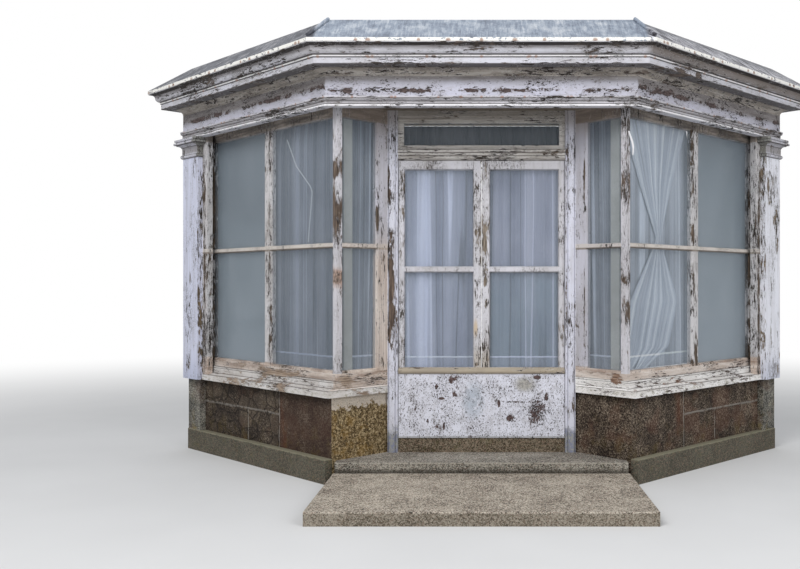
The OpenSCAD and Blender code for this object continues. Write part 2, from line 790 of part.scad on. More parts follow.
// A hanging curtain between x0 and x1 in the plane y, below a rod
module hanging(x0, x1, y, z0, z1) {
  block(x0, x1, y - curtain_d / 2, y + curtain_d / 2, z0, z1 - rod_r - cloth_gap);
}
module splay_curtains() {
  color("lavender") for (side = [0, 1]) mirror([side, 0, 0]) splay()
    hanging(frame_s + cloth_gap, mullion_s - cloth_gap, curtain_t, curtain_z, rod_z);
}
module return_curtains() {
  t1 = t_at_x(curtain_s, jamb_x) - curtain_d;
  color("lavender") for (side = [0, 1]) mirror([side, 0, 0]) return_face()
    hanging(post_t1 + cloth_gap, t1, curtain_s, curtain_z, rod_z);
}
module door_curtains() {
  color("lavender") for (side = [0, 1]) mirror([side, 0, 0])
    hanging(leaf_x0, leaf_x1, curtain_y, leaf_glass_z0 - curtain_drop, door_rod_z);
}
module fanlight_curtain() {
  color("lavender")
    hanging(-leaf_x1, leaf_x1, curtain_y, transom_top + curtain_drop, fan_rod_z);
}

lower_slab();
upper_step();
threshold();
left() stallriser();  // stallriser_left
stallriser();  // stallriser_right
left() kerb();  // kerb_left
kerb();  // kerb_right
left() pier();  // pier_left
pier();  // pier_right
left() sill();  // sill_left
sill();  // sill_right
left() corner_post();  // corner_post_left
corner_post();  // corner_post_right
left() splay_frame();  // splay_frame_left
splay_frame();  // splay_frame_right
left() splay_glass();  // splay_glass_left
splay_glass();  // splay_glass_right
left() return_frame();  // return_frame_left
return_frame();  // return_frame_right
return_glass();
left() door_jamb();  // door_jamb_left
door_jamb();  // door_jamb_right
door_head();
transom();
fanlight_frame();
fanlight_glass();
left() door_leaf();  // door_leaf_left
door_leaf();  // door_leaf_right
door_glass();
ledge_moulding();
kick_board();
left() pilaster();  // pilaster_left
pilaster();  // pilaster_right
left() capital();  // capital_left
capital();  // capital_right
architrave();
frieze();
cornice();
lead_roof();
soffit();
bressummer();
storey_posts();
window_boards();
window_screens();
curtain_rods();
splay_curtains();
return_curtains();
door_curtains();
fanlight_curtain();
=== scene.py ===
"""Looks for the corner shopfront bay: weathered paint, timber, stone, lead, glass and net curtains."""

import math
import random

import bmesh
import bpy
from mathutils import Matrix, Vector, noise


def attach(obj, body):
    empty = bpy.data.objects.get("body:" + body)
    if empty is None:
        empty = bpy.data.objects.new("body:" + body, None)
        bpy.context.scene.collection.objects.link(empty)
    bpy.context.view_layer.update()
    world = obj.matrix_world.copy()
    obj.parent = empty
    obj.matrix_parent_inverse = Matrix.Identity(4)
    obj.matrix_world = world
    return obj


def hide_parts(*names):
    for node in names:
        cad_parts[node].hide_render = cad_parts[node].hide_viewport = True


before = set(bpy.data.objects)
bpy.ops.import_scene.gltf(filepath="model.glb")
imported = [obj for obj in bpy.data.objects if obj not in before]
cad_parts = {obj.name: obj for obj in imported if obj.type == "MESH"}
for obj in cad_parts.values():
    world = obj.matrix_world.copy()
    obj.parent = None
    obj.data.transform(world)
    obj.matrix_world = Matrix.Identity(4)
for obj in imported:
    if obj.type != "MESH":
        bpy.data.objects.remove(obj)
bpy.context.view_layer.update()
scene = bpy.context.scene

# The splays start at this x on the front and run back at 45 degrees.
CORNER_X = 1.054
TURN = math.radians(45)
LEFT, RIGHT = "left", "right"
SIGN = {LEFT: -1, RIGHT: 1}

# Heights of the steps and kerbs, and the face of the upper step
SLAB_Z = 0.082
STEP_Z = 0.155
KERB_Z = 0.17
RISER_Y = 0.06

# Joints of a stallriser: where its corner stone ends, and the level and upright joints beyond
STONE_END_S = 0.722
COURSE_Z = 0.412
LOWER_JOINT_S = 1.16

# Heights of the sill's steps, the lower rail, the cross bar and the head of a window
NOSING_TOP = 0.637
SILL_FLAT = 0.703
SILL_STEPS = (NOSING_TOP + 0.001, 0.651, 0.691, SILL_FLAT)
RAIL_Z = 0.771
BAR = (1.62, 1.66)
HEAD_Z = 2.526

# Where the corner post's face lies, and the mullion and the end stile along a splay
POST_S = 0.058
POST_T = 0.122
MULLION = (0.88, 0.905)
END_STILE = (1.732, 1.765)

# The fronts of the doorway and of the leaves in it, and the leaves' bars and top rail
DOOR_Y = 0.427
LEAF_Y = 0.452
LEAF_BAR = (1.455, 1.501)
LEAF_RAIL_Z = 2.2
MEETING_X = 0.06
TRANSOM_STEPS = (2.275, 2.3, 2.322, 2.345)

# The pilasters' edge towards the windows, and the steps of their capitals
PILASTER_S = 1.779
CAPITAL_STEPS = (2.412, 2.436, 2.502, 2.524)

# Heights of the entablature, from the architrave up to the edge of the lead
ARCHITRAVE_STEPS = (2.586, 2.604, 2.622)
FASCIA_Z = 2.825
BEAD_Z = 2.868
CROWN_Z = 2.885
LIP_Z = 2.947
TOP_Z = 2.975


def at(s, t, z, side=RIGHT):
    """A point s along a splay, t behind the frieze face and z above the ground."""
    c = math.cos(TURN)
    return Vector((SIGN[side] * (CORNER_X + (s - t) * c), (s + t) * c, z))


def rgb(*screen):
    """A colour given as it looks on a screen, 0 to 255, as linear values."""
    linear = [v / 255 / 12.92 if v < 11 else ((v / 255 + 0.055) / 1.055) ** 2.4 for v in screen]
    return (*linear, 1)


def scaled(colour, factor):
    """A screen colour, darker or lighter."""
    return tuple(min(255, v * factor) for v in colour)


class Paint:
    """Builds one material's nodes. A value is a number, a colour or another node's output."""

    def __init__(self, name, roughness=0.7, specular=0.3):
        self.material = bpy.data.materials.new(name)
        self.material.use_nodes = True
        self.nodes = self.material.node_tree.nodes
        self.links = self.material.node_tree.links
        self.shader = self.nodes["Principled BSDF"]
        self.shader.inputs["Roughness"].default_value = roughness
        self.shader.inputs["Specular IOR Level"].default_value = specular
        self.place = self.node("TexCoord").outputs["Object"]
        parts = self.node("SeparateXYZ", Vector=self.place)
        self.x, self.y, self.z = (parts.outputs[i] for i in range(3))
        self.out = self.calc("ABSOLUTE", self.x)
        self.is_right = self.step(self.x, -0.001, 0.001)
        self.is_left = self.below(self.x, -0.001, 0.001)
        c = math.cos(TURN)
        past = self.add(self.out, -CORNER_X)
        self.s = self.times(self.add(past, self.y), c)
        self.t = self.times(self.calc("SUBTRACT", self.y, past), c)

    def put(self, socket, value):
        if isinstance(value, bpy.types.NodeSocket):
            self.links.new(value, socket)
        else:
            socket.default_value = value

    def node(self, kind, settings=None, **inputs):
        made = self.nodes.new("ShaderNode" + kind)
        for key, value in (settings or {}).items():
            setattr(made, key, value)
        for key, value in inputs.items():
            self.put(made.inputs[key.replace("_", " ")], value)
        return made

    def calc(self, operation, *values):
        made = self.node("Math", {"operation": operation})
        for socket, value in zip(made.inputs, values):
            self.put(socket, value)
        return made.outputs[0]

    def chain(self, operation, values):
        total = values[0]
        for value in values[1:]:
            total = self.calc(operation, total, value)
        return total

    def add(self, *values):
        return self.chain("ADD", values)

    def times(self, *values):
        return self.chain("MULTIPLY", values)

    def most(self, *values):
        return self.chain("MAXIMUM", values)

    def distance(self, vector):
        return self.node("VectorMath", {"operation": "LENGTH"}, Vector=vector).outputs["Value"]

    def mapped(self, scale, move):
        return self.node("Mapping", Vector=self.place, Scale=scale, Location=move).outputs[0]

    def stretched(self, sx, sy, sz, shift=0):
        """The place, scaled along each axis and moved, so that two patterns don't match."""
        return self.mapped((sx, sy, sz), (shift, shift * 0.7, shift * 1.3))

    def moved(self, shift):
        return self.stretched(1, 1, 1, shift)

    def noise(self, scale, detail, rough=0.6, vector=None, warp=0):
        return self.node(
            "TexNoise", Vector=vector or self.place, Scale=scale, Detail=detail, Roughness=rough,
            Distortion=warp,
        ).outputs[0]

    def cells(self, scale, vector):
        """A random colour for each cell of a pattern."""
        return self.node("TexVoronoi", Vector=vector, Scale=scale).outputs["Color"]

    def cell_edges(self, scale, vector):
        """Distance from the edges between cells."""
        made = self.node("TexVoronoi", {"feature": "DISTANCE_TO_EDGE"}, Vector=vector, Scale=scale)
        return made.outputs[0]

    def channel(self, colour, number):
        return self.node("SeparateColor", Color=colour).outputs[number]

    def step(self, value, low, high, to_low=0, to_high=1):
        """Smooth change from to_low to to_high as value goes from low to high."""
        return self.node(
            "MapRange", {"interpolation_type": "SMOOTHSTEP"}, Value=value,
            From_Min=low, From_Max=high, To_Min=to_low, To_Max=to_high,
        ).outputs[0]

    def below(self, value, low, high):
        """1 below low and 0 above high."""
        return self.step(value, low, high, 1, 0)

    def between(self, value, low, high, soft=0.002):
        """1 from low to high, fading over soft on either side of both."""
        above = self.step(value, low - soft, low + soft)
        return self.times(above, self.below(value, high - soft, high + soft))

    def mix(self, factor, a, b):
        made = self.node("Mix", {"data_type": "RGBA"})
        self.put(made.inputs["Factor"], factor)
        self.put(made.inputs[6], a)
        self.put(made.inputs[7], b)
        return made.outputs[2]

    def over(self, coat, colour, *masks):
        """A coat with a colour, from a screen or a node, laid over it as strongly as all masks allow."""
        if isinstance(colour, tuple):
            colour = rgb(*colour)
        return self.mix(self.times(*masks), coat, colour)

    def shades(self, value, *stops):
        """A colour ramp; each stop is (position, colour on a screen)."""
        made = self.node("ValToRGB", Fac=value)
        ramp = made.color_ramp
        while len(ramp.elements) < len(stops):
            ramp.elements.new(0.5)
        for element, (position, colour) in zip(ramp.elements, stops):
            element.position = position
            element.color = rgb(*colour)
        return made.outputs[0]

    def patch(self, centre, radius):
        """1 at a place on the object, fading to 0 at radius (x, y, z) from it."""
        scale = tuple(1 / r for r in radius)
        move = tuple(-c / r for c, r in zip(centre, radius))
        return self.below(self.distance(self.mapped(scale, move)), 0.35, 1.15)

    def lines(self, heights, half):
        """1 on thin level lines at the given heights."""
        return self.most(*[self.between(self.z, z - half, z + half, half * 0.6) for z in heights])

    def nails(self, height, radius, on_splays, on_front):
        """1 on spots in a row at one height; the last two values are their spacings."""
        up = self.add(self.z, -height)
        spots = []
        for along, spacing in ((self.s, on_splays), (self.x, on_front)):
            across = self.calc("PINGPONG", along, spacing / 2)
            away = self.calc("SQRT", self.add(self.times(across, across), self.times(up, up)))
            spots.append(self.below(away, radius * 0.4, radius))
        return self.most(*spots)

    def bump(self, height, distance, strength, sunk=False):
        made = self.node("Bump", {"invert": sunk}, Height=height, Distance=distance, Strength=strength)
        earlier = self.shader.inputs["Normal"]
        if earlier.links:
            self.put(made.inputs["Normal"], earlier.links[0].from_socket)
        self.put(earlier, made.outputs[0])

    def colour(self, value):
        self.put(self.shader.inputs["Base Color"], value)
        return self.material


# How a grain stretches a pattern along x, y and z
LONG = {
    "up": (1, 1, 0.07),
    "flakes": (1, 1, 0.5),
    "along": (0.07, 0.07, 1),
    "slant": (0.3, 0.3, 1),
    "all": (1, 1, 1),
}
BROWN = ((42, 36, 32), (80, 70, 60), (122, 108, 94))
PALE_EDGE = (228, 226, 230)
UNDER_FLAKE = (38, 34, 32)


def peeling(
    name, nodes, bare, chips, seed, paint=(194, 194, 203), dirt=(132, 124, 114), wood=BROWN, run="up",
    grime=0.35, size=1, gather=0.5, crackle=0.4, patches=(), wear=None, tint=None,
):
    """Dresses nodes in old oil paint on timber. bare is the share of larger bare places, chips of slivers
    and specks, gather how much these crowd together and crackle how dark the net of cracks is. patches
    holds (centre, radius, strength) of places bared more, wear(p) adds to the baring and tint(p, coat)
    recolours."""
    p = Paint(name)
    long = LONG[run]
    half = tuple(v**0.45 for v in long)
    grain = p.noise(150, 5, 0.65, p.stretched(*long, seed))
    timber = p.shades(grain, (0.36, wood[0]), (0.5, wood[1]), (0.64, wood[2]))
    broad = p.noise(5 / size, 8, 0.7, p.stretched(*half, seed + 5), 0.4)
    ragged = p.noise(42 / size, 6, 0.72, p.stretched(*half, seed + 9))
    extra = wear(p) if wear else 0
    for centre, radius, strength in patches:
        extra = p.add(extra, p.times(p.patch(centre, radius), strength))
    level = p.add(broad, p.times(p.add(ragged, -0.5), 0.4), extra)
    edge = 0.66 - 0.22 * bare
    gone = p.step(level, edge, edge + 0.01)
    rim_shadow = p.between(level, edge - 0.03, edge, 0.01)

    slivers = p.noise(58 / size, 4, 0.7, p.stretched(*[v**0.75 for v in long], seed + 13))
    cluster = p.noise(4 / size, 4, 0.6, p.stretched(*half, seed + 17))
    crowd = p.times(p.add(cluster, -0.5), gather)
    flaking = p.add(slivers, crowd, p.times(extra, 0.6))
    limit = 0.665 - 0.16 * chips
    fleck = p.step(flaking, limit, limit + 0.012)
    curl = p.between(flaking, limit - 0.022, limit - 0.004, 0.006)
    fine = p.noise(120 / size, 3, 0.7, p.stretched(*half, seed + 19))
    speck = p.step(p.add(fine, crowd), limit + 0.035, limit + 0.05)

    dust = p.noise(3.5, 6, 0.7, p.stretched(1, 1, 0.45, seed + 23))
    streaks = p.noise(34, 4, 0.6, p.stretched(*long, seed + 27))
    cells = p.cell_edges(80 / size, p.stretched(*half, seed + 31))
    crack = p.times(p.below(cells, 0, 0.05), p.step(cluster, 0.4, 0.55))
    coat = p.over(rgb(*paint), dirt, p.step(dust, 0.36, 0.68), grime)
    coat = p.over(coat, dirt, p.step(streaks, 0.46, 0.66), 0.22)
    if tint:
        coat = tint(p, coat)
    coat = p.over(coat, scaled(dirt, 0.5), crack, crackle)
    # A dark rim just outside each bare place: painted shadow along the broken edges of the paint.
    coat = p.over(coat, scaled(dirt, 0.7), rim_shadow, 0.4)
    coat = p.over(coat, PALE_EDGE, curl, 0.45)
    coat = p.mix(p.most(fleck, p.times(speck, 0.8)), coat, p.mix(0.75, timber, rgb(*UNDER_FLAKE)))
    p.bump(p.most(gone, fleck), 0.0018, 0.9, True)
    p.bump(p.add(p.times(grain, gone), p.times(cells, 0.5)), 0.0012, 0.6)
    dress(p.colour(p.mix(gone, coat, timber)), *nodes)


def rubble(p, stone, seed):
    """The left splay is darker. Beyond its corner stone it is built of rough lumps with hollows between."""
    place = p.times(p.is_left, p.step(p.s, STONE_END_S, STONE_END_S + 0.002))
    lumps = p.stretched(1, 1, 1.35, seed + 30)
    tones = p.channel(p.cells(6.5, lumps), 0)
    stone = p.over(stone, (132, 118, 102), place, p.step(tones, 0.45, 0.55), 0.22)
    hollow = p.times(place, p.below(p.cell_edges(6.5, lumps), 0.01, 0.06))
    stone = p.over(stone, (30, 25, 22), hollow, 0.6)
    p.bump(hollow, 0.012, 0.8, True)
    stone = p.over(stone, (40, 34, 30), p.is_left, 0.38)
    corner = p.times(p.below(p.s, STONE_END_S - 0.003, STONE_END_S + 0.003), p.is_left)
    return p.over(stone, (74, 50, 40), corner, 0.35)


def pointing(p, stone):
    """Pale mortar in joints that wander a little, partly worn away, and rust beside the upright one."""
    half, soft = 0.008, 0.003
    drift = p.times(p.add(p.noise(9, 3, 0.5), -0.5), 0.016)
    across = p.add(p.z, drift)
    along = p.add(p.s, drift)
    upright = p.between(along, STONE_END_S - half, STONE_END_S + half, soft)
    level = p.between(across, COURSE_Z - half, COURSE_Z + half, soft)
    level = p.times(level, p.step(p.s, STONE_END_S - 0.004, STONE_END_S))
    low = p.between(along, LOWER_JOINT_S - half, LOWER_JOINT_S + half, soft)
    low = p.times(low, p.below(p.z, COURSE_Z - 0.003, COURSE_Z))
    joint = p.times(p.most(upright, level, low), p.below(p.t, 0.11, 0.12))
    worn = p.step(p.noise(30, 4, 0.6), 0.36, 0.5)
    run = p.step(p.noise(7, 5, 0.7, p.stretched(1, 1, 0.3)), 0.46, 0.62)
    rust = p.times(p.between(p.s, 0.6, 0.7, 0.05), run)
    stone = p.over(stone, (112, 64, 40), rust, 0.3)
    stone = p.over(stone, (142, 136, 128), joint, worn, 0.85)
    p.bump(joint, 0.003, 0.5)
    return stone


def whitewash(p, stone, fine, seed):
    """Ochre and gold on the left side of the recess, with the rest of a white band above."""
    side = p.times(p.below(p.s, 0.062, 0.066), p.step(p.y, 0.06, 0.08), p.is_left)
    speckle = p.noise(62, 7, 0.85)
    ochre = p.shades(speckle, (0.42, (38, 31, 25)), (0.5, (118, 97, 62)), (0.6, (208, 190, 152)))
    stone = p.over(stone, ochre, side, 0.85)
    gold = p.times(side, p.step(p.noise(9, 6, 0.8, p.moved(seed + 14)), 0.5, 0.6))
    stone = p.over(stone, (160, 120, 44), gold, 0.25)
    ragged = p.times(p.add(p.noise(26, 6, 0.7), -0.5), 0.22)
    band = p.step(p.add(p.z, ragged), 0.51, 0.52)
    return p.over(stone, (212, 202, 190), band, side, p.step(fine, 0.4, 0.46), 0.9)


def granite(name, dark, light, seed, lichen, stallriser):
    """Axed granite: crystals, mottling, stains, a painted shadow along the top and lichen, and on the
    stallrisers joints and whitewash.
    """
    p = Paint(name, 0.85, 0.2)
    cloud = p.noise(6, 7, 0.65, p.moved(seed + 4))
    fine = p.noise(190, 4, 0.8, p.moved(seed))
    warped = p.node("VectorMath", {"operation": "ADD"})
    p.put(warped.inputs[0], p.moved(seed + 8))
    wander = p.node("TexNoise", Vector=p.place, Scale=70, Detail=2).outputs["Color"]
    p.put(warped.inputs[1], p.mix(0.012, (0, 0, 0, 1), wander))
    bright = p.channel(p.cells(150, warped.outputs[0]), 0)
    tone = p.add(p.times(bright, 0.3), p.times(fine, 0.5), p.times(cloud, 0.45))
    middle = tuple((a * 2 + b) / 3 for a, b in zip(dark, light))
    stone = p.shades(tone, (0.5, scaled(dark, 0.36)), (0.61, dark), (0.71, middle), (0.82, light))
    warm = p.step(p.noise(4, 4, 0.6, p.moved(seed + 20)), 0.5, 0.62)
    stone = p.over(stone, (104, 72, 58), warm, 0.3)
    if stallriser:
        stone = pointing(p, rubble(p, stone, seed))
    # Painted shadow in blotches across the top of the stone, under the sill nosing and under the pilasters.
    shade_under_ledge = p.times(p.step(p.z, 0.5, 0.6), p.step(p.noise(11, 5, 0.6), 0.3, 0.6))
    stone = p.over(stone, (34, 28, 24), shade_under_ledge, 0.6)
    spread = p.add(p.noise(8, 8, 0.75, p.moved(seed + 12)), p.times(fine, 0.3))
    where = p.times(p.step(spread, 0.66, 0.78), lichen)
    moss = p.shades(fine, (0.35, (104, 84, 34)), (0.65, (150, 130, 62)))
    stone = p.over(stone, moss, where, p.step(p.z, 0.12, 0.4, 1, 0.25))
    if stallriser:
        stone = whitewash(p, stone, fine, seed)
    p.bump(p.add(fine, p.times(bright, 0.6)), 0.006, 0.8)
    p.bump(cloud, 0.02, 0.35)
    return p.colour(stone)


def worn_stone(name, dark, light, seed, moss, tint=None, pits=0.45):
    """Steps and slabs: exposed aggregate, dirt and moss. tint(p, stone) recolours edges, and pits is how
    bright the darkest grains are against dark."""
    p = Paint(name, 0.9, 0.2)
    grit = p.noise(150, 4, 0.8, p.moved(seed))
    blotch = p.noise(4.5, 8, 0.7, p.moved(seed + 2))
    pebble = p.cells(160, p.moved(seed + 5))
    bright, pink = p.channel(pebble, 0), p.channel(pebble, 1)
    tone = p.add(p.times(grit, 0.55), p.times(blotch, 0.35), p.times(bright, 0.25))
    stone = p.shades(tone, (0.46, scaled(dark, pits)), (0.55, dark), (0.68, light))
    stone = p.over(stone, (176, 140, 122), p.step(pink, 0.7, 0.9), 0.25)
    growth = p.step(p.noise(13, 7, 0.75, p.moved(seed + 7)), 0.54, 0.66)
    stone = p.over(stone, (84, 80, 48), growth, moss)
    if tint:
        stone = tint(p, stone)
    p.bump(p.add(grit, p.times(bright, 0.6)), 0.005, 0.8)
    p.bump(blotch, 0.012, 0.3)
    return p.colour(stone)


def lead(name):
    """Weathered sheet lead: smooth on the front, darker on the left and pleated on the right. The edge that
    laps the timber is painted over, and the paint is chipped and rusty at the nails."""
    p = Paint(name, 0.6, 0.35)
    runs = p.noise(60, 5, 0.7, p.stretched(1, 0.12, 0.05))
    cloud = p.noise(7, 7, 0.7)
    tone = p.add(p.times(runs, 0.45), p.times(cloud, 0.6))
    metal = p.shades(tone, (0.42, (108, 116, 130)), (0.53, (142, 152, 166)), (0.64, (184, 189, 196)))
    dull = p.shades(tone, (0.44, (52, 54, 62)), (0.54, (92, 94, 102)), (0.64, (158, 156, 158)))
    splay = p.step(p.out, CORNER_X + 0.02, CORNER_X + 0.06)
    metal = p.over(metal, dull, splay, p.is_left, 0.95)
    along_pleats = p.node("CombineXYZ", X=p.s, Y=p.times(p.z, 0.2)).outputs[0]
    pleat = p.noise(62, 2, 0.5, along_pleats)
    # The right splay's pleats as pale and dark stripes: painted light and shade of the pleats.
    pleat_shading = p.shades(pleat, (0.42, (54, 52, 58)), (0.5, (134, 134, 142)), (0.58, (206, 206, 212)))
    metal = p.over(metal, dull, splay, p.is_right)
    near_edge = p.step(p.z, TOP_Z + 0.08, TOP_Z + 0.18, 1, 0.3)
    metal = p.over(metal, pleat_shading, splay, p.is_right, near_edge)
    fleck = p.step(p.noise(75, 4, 0.75, p.stretched(1, 1, 0.5)), 0.6, 0.64)
    metal = p.over(metal, (74, 76, 84), fleck, 0.6)
    edge = p.below(p.z, TOP_Z + 0.001, TOP_Z + 0.004)
    whole = p.below(p.noise(46, 5, 0.7, p.stretched(0.5, 0.5, 1, 3)), 0.575, 0.59)
    metal = p.over(metal, (240, 238, 232), edge, whole, 0.95)
    metal = p.over(metal, (134, 84, 50), p.nails(LIP_Z + 0.014, 0.016, 0.37, 0.41), edge, 0.7)
    p.bump(p.add(cloud, p.times(runs, 0.3)), 0.012, 0.4)
    p.bump(p.times(pleat, p.is_right), 0.02, 0.5)
    return p.colour(metal)


# A crack across the left near pane, as places (s, z) along it, and where that pane ends
CRACK = ((0.679, 2.435), (0.56, 2.232), (0.382, 2.072), (0.357, 2.027), (0.407, 1.673))
PANE_END = (0.8, 0.81)


def from_segment(p, start, end):
    """Distance from a straight line on a splay between two places (s, z)."""
    run, rise = end[0] - start[0], end[1] - start[1]
    across = p.add(p.s, -start[0])
    up = p.add(p.z, -start[1])
    share = p.times(p.add(p.times(across, run), p.times(up, rise)), 1 / (run * run + rise * rise))
    share = p.calc("MINIMUM", p.calc("MAXIMUM", share, 0), 1)
    across = p.add(across, p.times(share, -run))
    up = p.add(up, p.times(share, -rise))
    return p.calc("SQRT", p.add(p.times(across, across), p.times(up, up)))


def glass(name, cracked=False):
    p = Paint(name, 0.04, 0.35)
    # A pale blue-grey film: haze on the old glass together with a painted reflection of a pale sky.
    haze_and_reflection = p.noise(2.2, 5, 0.7, p.stretched(1, 1, 0.5))
    colour = p.shades(haze_and_reflection, (0.3, (138, 150, 160)), (0.7, (176, 186, 196)))
    alpha = 0.18
    if cracked:
        near = p.chain("MINIMUM", [from_segment(p, a, b) for a, b in zip(CRACK, CRACK[1:])])
        line = p.times(p.below(near, 0.001, 0.003), p.below(p.s, *PANE_END))
        colour = p.over(colour, (206, 212, 216), line)
        alpha = p.add(p.times(line, 0.55), alpha)
    p.put(p.shader.inputs["Alpha"], alpha)
    return p.colour(colour)


# Where the line of stitches above a net's hem runs, as a share of the drop
STITCHES = (0.944, 0.951)


def cloth(name, light, dark, folds, seed, crease=1, fine=0.25, low=None):
    """Fine net: painted light and shade of the folds as tonal bands and thin light and dark crease lines, a
    hem and a little dust. crease is how strong the crease lines are, fine the share of narrow bands and low
    a colour of the lower part."""
    p = Paint(name, 0.9, 0.1)
    across = p.node("Attribute", {"attribute_name": "across"}).outputs["Fac"]
    down = p.node("Attribute", {"attribute_name": "down"}).outputs["Fac"]
    made = p.node("CombineXYZ", X=p.times(across, folds), Y=p.times(down, 0.14), Z=seed)
    # Bands across the folds: painted light and shade of the folds.
    wide = p.noise(1, 1, 0.4, made.outputs[0])
    narrow = p.noise(5.5, 2, 0.5, made.outputs[0])
    dust = p.noise(4, 5, 0.65, p.stretched(1, 1, 0.6, seed + 4))
    tone = p.add(p.times(wide, 0.8 - fine), p.times(narrow, fine), p.times(dust, 0.2))
    net = p.shades(tone, (0.4, dark), (0.6, light))
    if low:
        net = p.over(net, low, p.step(down, 0.45, 0.6), p.step(dust, 0.3, 0.6, 0.35, 0.65))
    # Painted highlights and painted shade along the creases.
    net = p.over(net, scaled(light, 1.25), p.between(wide, 0.56, 0.59, 0.012), 0.55 * crease)
    net = p.over(net, scaled(dark, 0.5), p.between(wide, 0.425, 0.44, 0.008), 0.6 * crease)
    net = p.over(net, scaled(light, 1.35), p.between(down, *STITCHES), 0.75)
    net = p.over(net, light, p.step(down, STITCHES[1] - 0.001, STITCHES[1] + 0.001, 0, 0.25))
    p.shader.inputs["Sheen Weight"].default_value = 0.15
    return p.colour(net)


def plain(name, light, dark, scale, rough=0.8, run="all", relief=0.001):
    """An even coat or metal with a slight grain."""
    p = Paint(name, rough, 0.2)
    tone = p.noise(scale, 6, 0.6, p.stretched(*LONG[run]))
    fine = p.noise(scale * 14, 4, 0.6, p.stretched(*LONG[run]))
    p.bump(fine, relief, 0.4)
    mixed = p.add(p.times(tone, 0.7), p.times(fine, 0.3))
    return p.colour(p.shades(mixed, (0.36, dark), (0.64, light)))


def dress(material, *names):
    for name in names:
        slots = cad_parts[name].data.materials
        slots.clear()
        slots.append(material)


def both(name):
    return [name + "_left", name + "_right"]


def facing(y, deep, *places):
    """Patches on faces towards the street at y, from (x, z, half width, half height, strength)."""
    return [((x, y, z), (wide, deep, high), much) for x, z, wide, high, much in places]


def turned(side, t, *places):
    """Patches on a splay, t behind the frieze face, from (s, z, half width, half height, strength)."""
    return [(at(s, t, z, side), (wide, wide, high), much) for s, z, wide, high, much in places]


def level_streaks(p, dark, middle, light, spread=0.14):
    tone = p.noise(34, 5, 0.7, p.stretched(0.1, 0.1, 1, 2))
    return p.shades(tone, (0.5 - spread, dark), (0.5, middle), (0.5 + spread, light))


def ragged_height(p, reach, scale=14):
    """The height, moved up and down by noise, so that a tone's edge isn't level."""
    return p.add(p.z, p.times(p.add(p.noise(scale, 7, 0.72, p.stretched(0.5, 0.5, 1)), -0.5), reach))


# Entablature
RUST = (142, 92, 56)


def cornice_tint(p, coat):
    """Dirt on the cove and the crown moulding, dark lines between the mouldings that are partly dirt in the
    joints and partly painted shade, a painted shadow under the lip, and rust from nails.
    """
    height = ragged_height(p, 0.05)
    olive = level_streaks(p, (112, 104, 94), (152, 144, 134), (178, 172, 164))
    crown_dirt = level_streaks(p, (66, 58, 54), (112, 104, 100), (156, 150, 152))
    coat = p.over(coat, olive, p.below(p.z, FASCIA_Z - 0.003, FASCIA_Z), 0.92)
    under_lip = p.below(p.z, LIP_Z - 0.001, LIP_Z + 0.001)
    coat = p.over(coat, crown_dirt, p.step(height, CROWN_Z + 0.01, CROWN_Z + 0.055), under_lip, 0.75)
    right = p.step(p.x, CORNER_X, CORNER_X + 0.08)
    smeared = p.step(height, CROWN_Z - 0.005, CROWN_Z + 0.007)
    coat = p.over(coat, (92, 80, 68), right, smeared, under_lip, 0.75)
    # Dark lines at the joints of the mouldings: partly dirt, partly painted shade under each step.
    coat = p.over(coat, (44, 38, 36), p.lines((FASCIA_Z + 0.001, BEAD_Z, CROWN_Z), 0.0032), 0.8)
    # A painted shadow under the lip of the nosing.
    coat = p.over(coat, (34, 28, 27), p.between(p.z, LIP_Z - 0.012, LIP_Z + 0.002), 0.9)
    bead = p.between(p.z, BEAD_Z + 0.004, CROWN_Z - 0.003)
    bright = p.most(bead, p.step(p.z, LIP_Z + 0.004, LIP_Z + 0.006))
    coat = p.over(coat, (232, 230, 227), bright, 0.7)
    return p.over(coat, RUST, p.nails(BEAD_Z + 0.004, 0.014, 0.31, 0.36), 0.55)


def cornice_wear(p):
    """Paint is off along the fascia's lower edge; the rest of the fascia and the bead are nearly whole."""
    edge_top = FASCIA_Z + 0.009
    edge = p.between(p.z, FASCIA_Z, edge_top, 0.003)
    face = p.between(p.z, edge_top, BEAD_Z, 0.003)
    bead = p.between(p.z, BEAD_Z, CROWN_Z)
    return p.add(p.times(edge, 0.05), p.times(face, -0.06), p.times(bead, -0.05))


FASCIA_T = -0.13
peeling(
    "cornice_paint", ["cornice"],
    paint=(202, 202, 210), wood=((44, 38, 36), (84, 74, 68), (118, 106, 98)),
    run="along", bare=0.2, chips=0.55, seed=1, size=0.6,
    patches=[
        *turned(RIGHT, FASCIA_T, (0.55, 2.845, 0.05, 0.03, 0.2), (0.3, 2.845, 0.12, 0.015, 0.12)),
        *turned(LEFT, FASCIA_T, (1.25, 2.845, 0.1, 0.015, 0.12)),
    ],
    wear=cornice_wear, tint=cornice_tint,
)


def on_front(p):
    return p.below(p.out, CORNER_X - 0.01, CORNER_X + 0.02)


def frieze_tint(p, coat):
    """Painted shade under the cornice: brown-grey under the cove, then lilac-grey, then nearly white, and
    darker on the splays.
    """
    # The painted shade fades down the frieze and reaches lower on the splays than on the front.
    height = p.add(ragged_height(p, 0.04), p.times(on_front(p), -0.04))
    coat = p.over(coat, (150, 149, 156), p.step(height, 2.655, 2.705, 0, 0.75))
    grey = level_streaks(p, (96, 90, 86), (118, 112, 110), (140, 136, 134))
    return p.over(coat, grey, p.step(height, 2.685, 2.725, 0, 0.9))


def frieze_wear(p):
    """Flakes are off in a ragged band, lower on the front than on the splays."""
    front = on_front(p)
    height = p.add(p.z, p.times(front, 0.03))
    islands = p.step(p.noise(7, 4, 0.6, p.stretched(1, 1, 0.3, 4)), 0.34, 0.58)
    band = p.times(p.between(height, 2.692, 2.722, 0.012), islands, 0.17)
    upper = p.times(p.below(front, 0, 1), p.step(p.z, 2.665, 2.7), 0.035)
    return p.add(band, upper, -0.02)


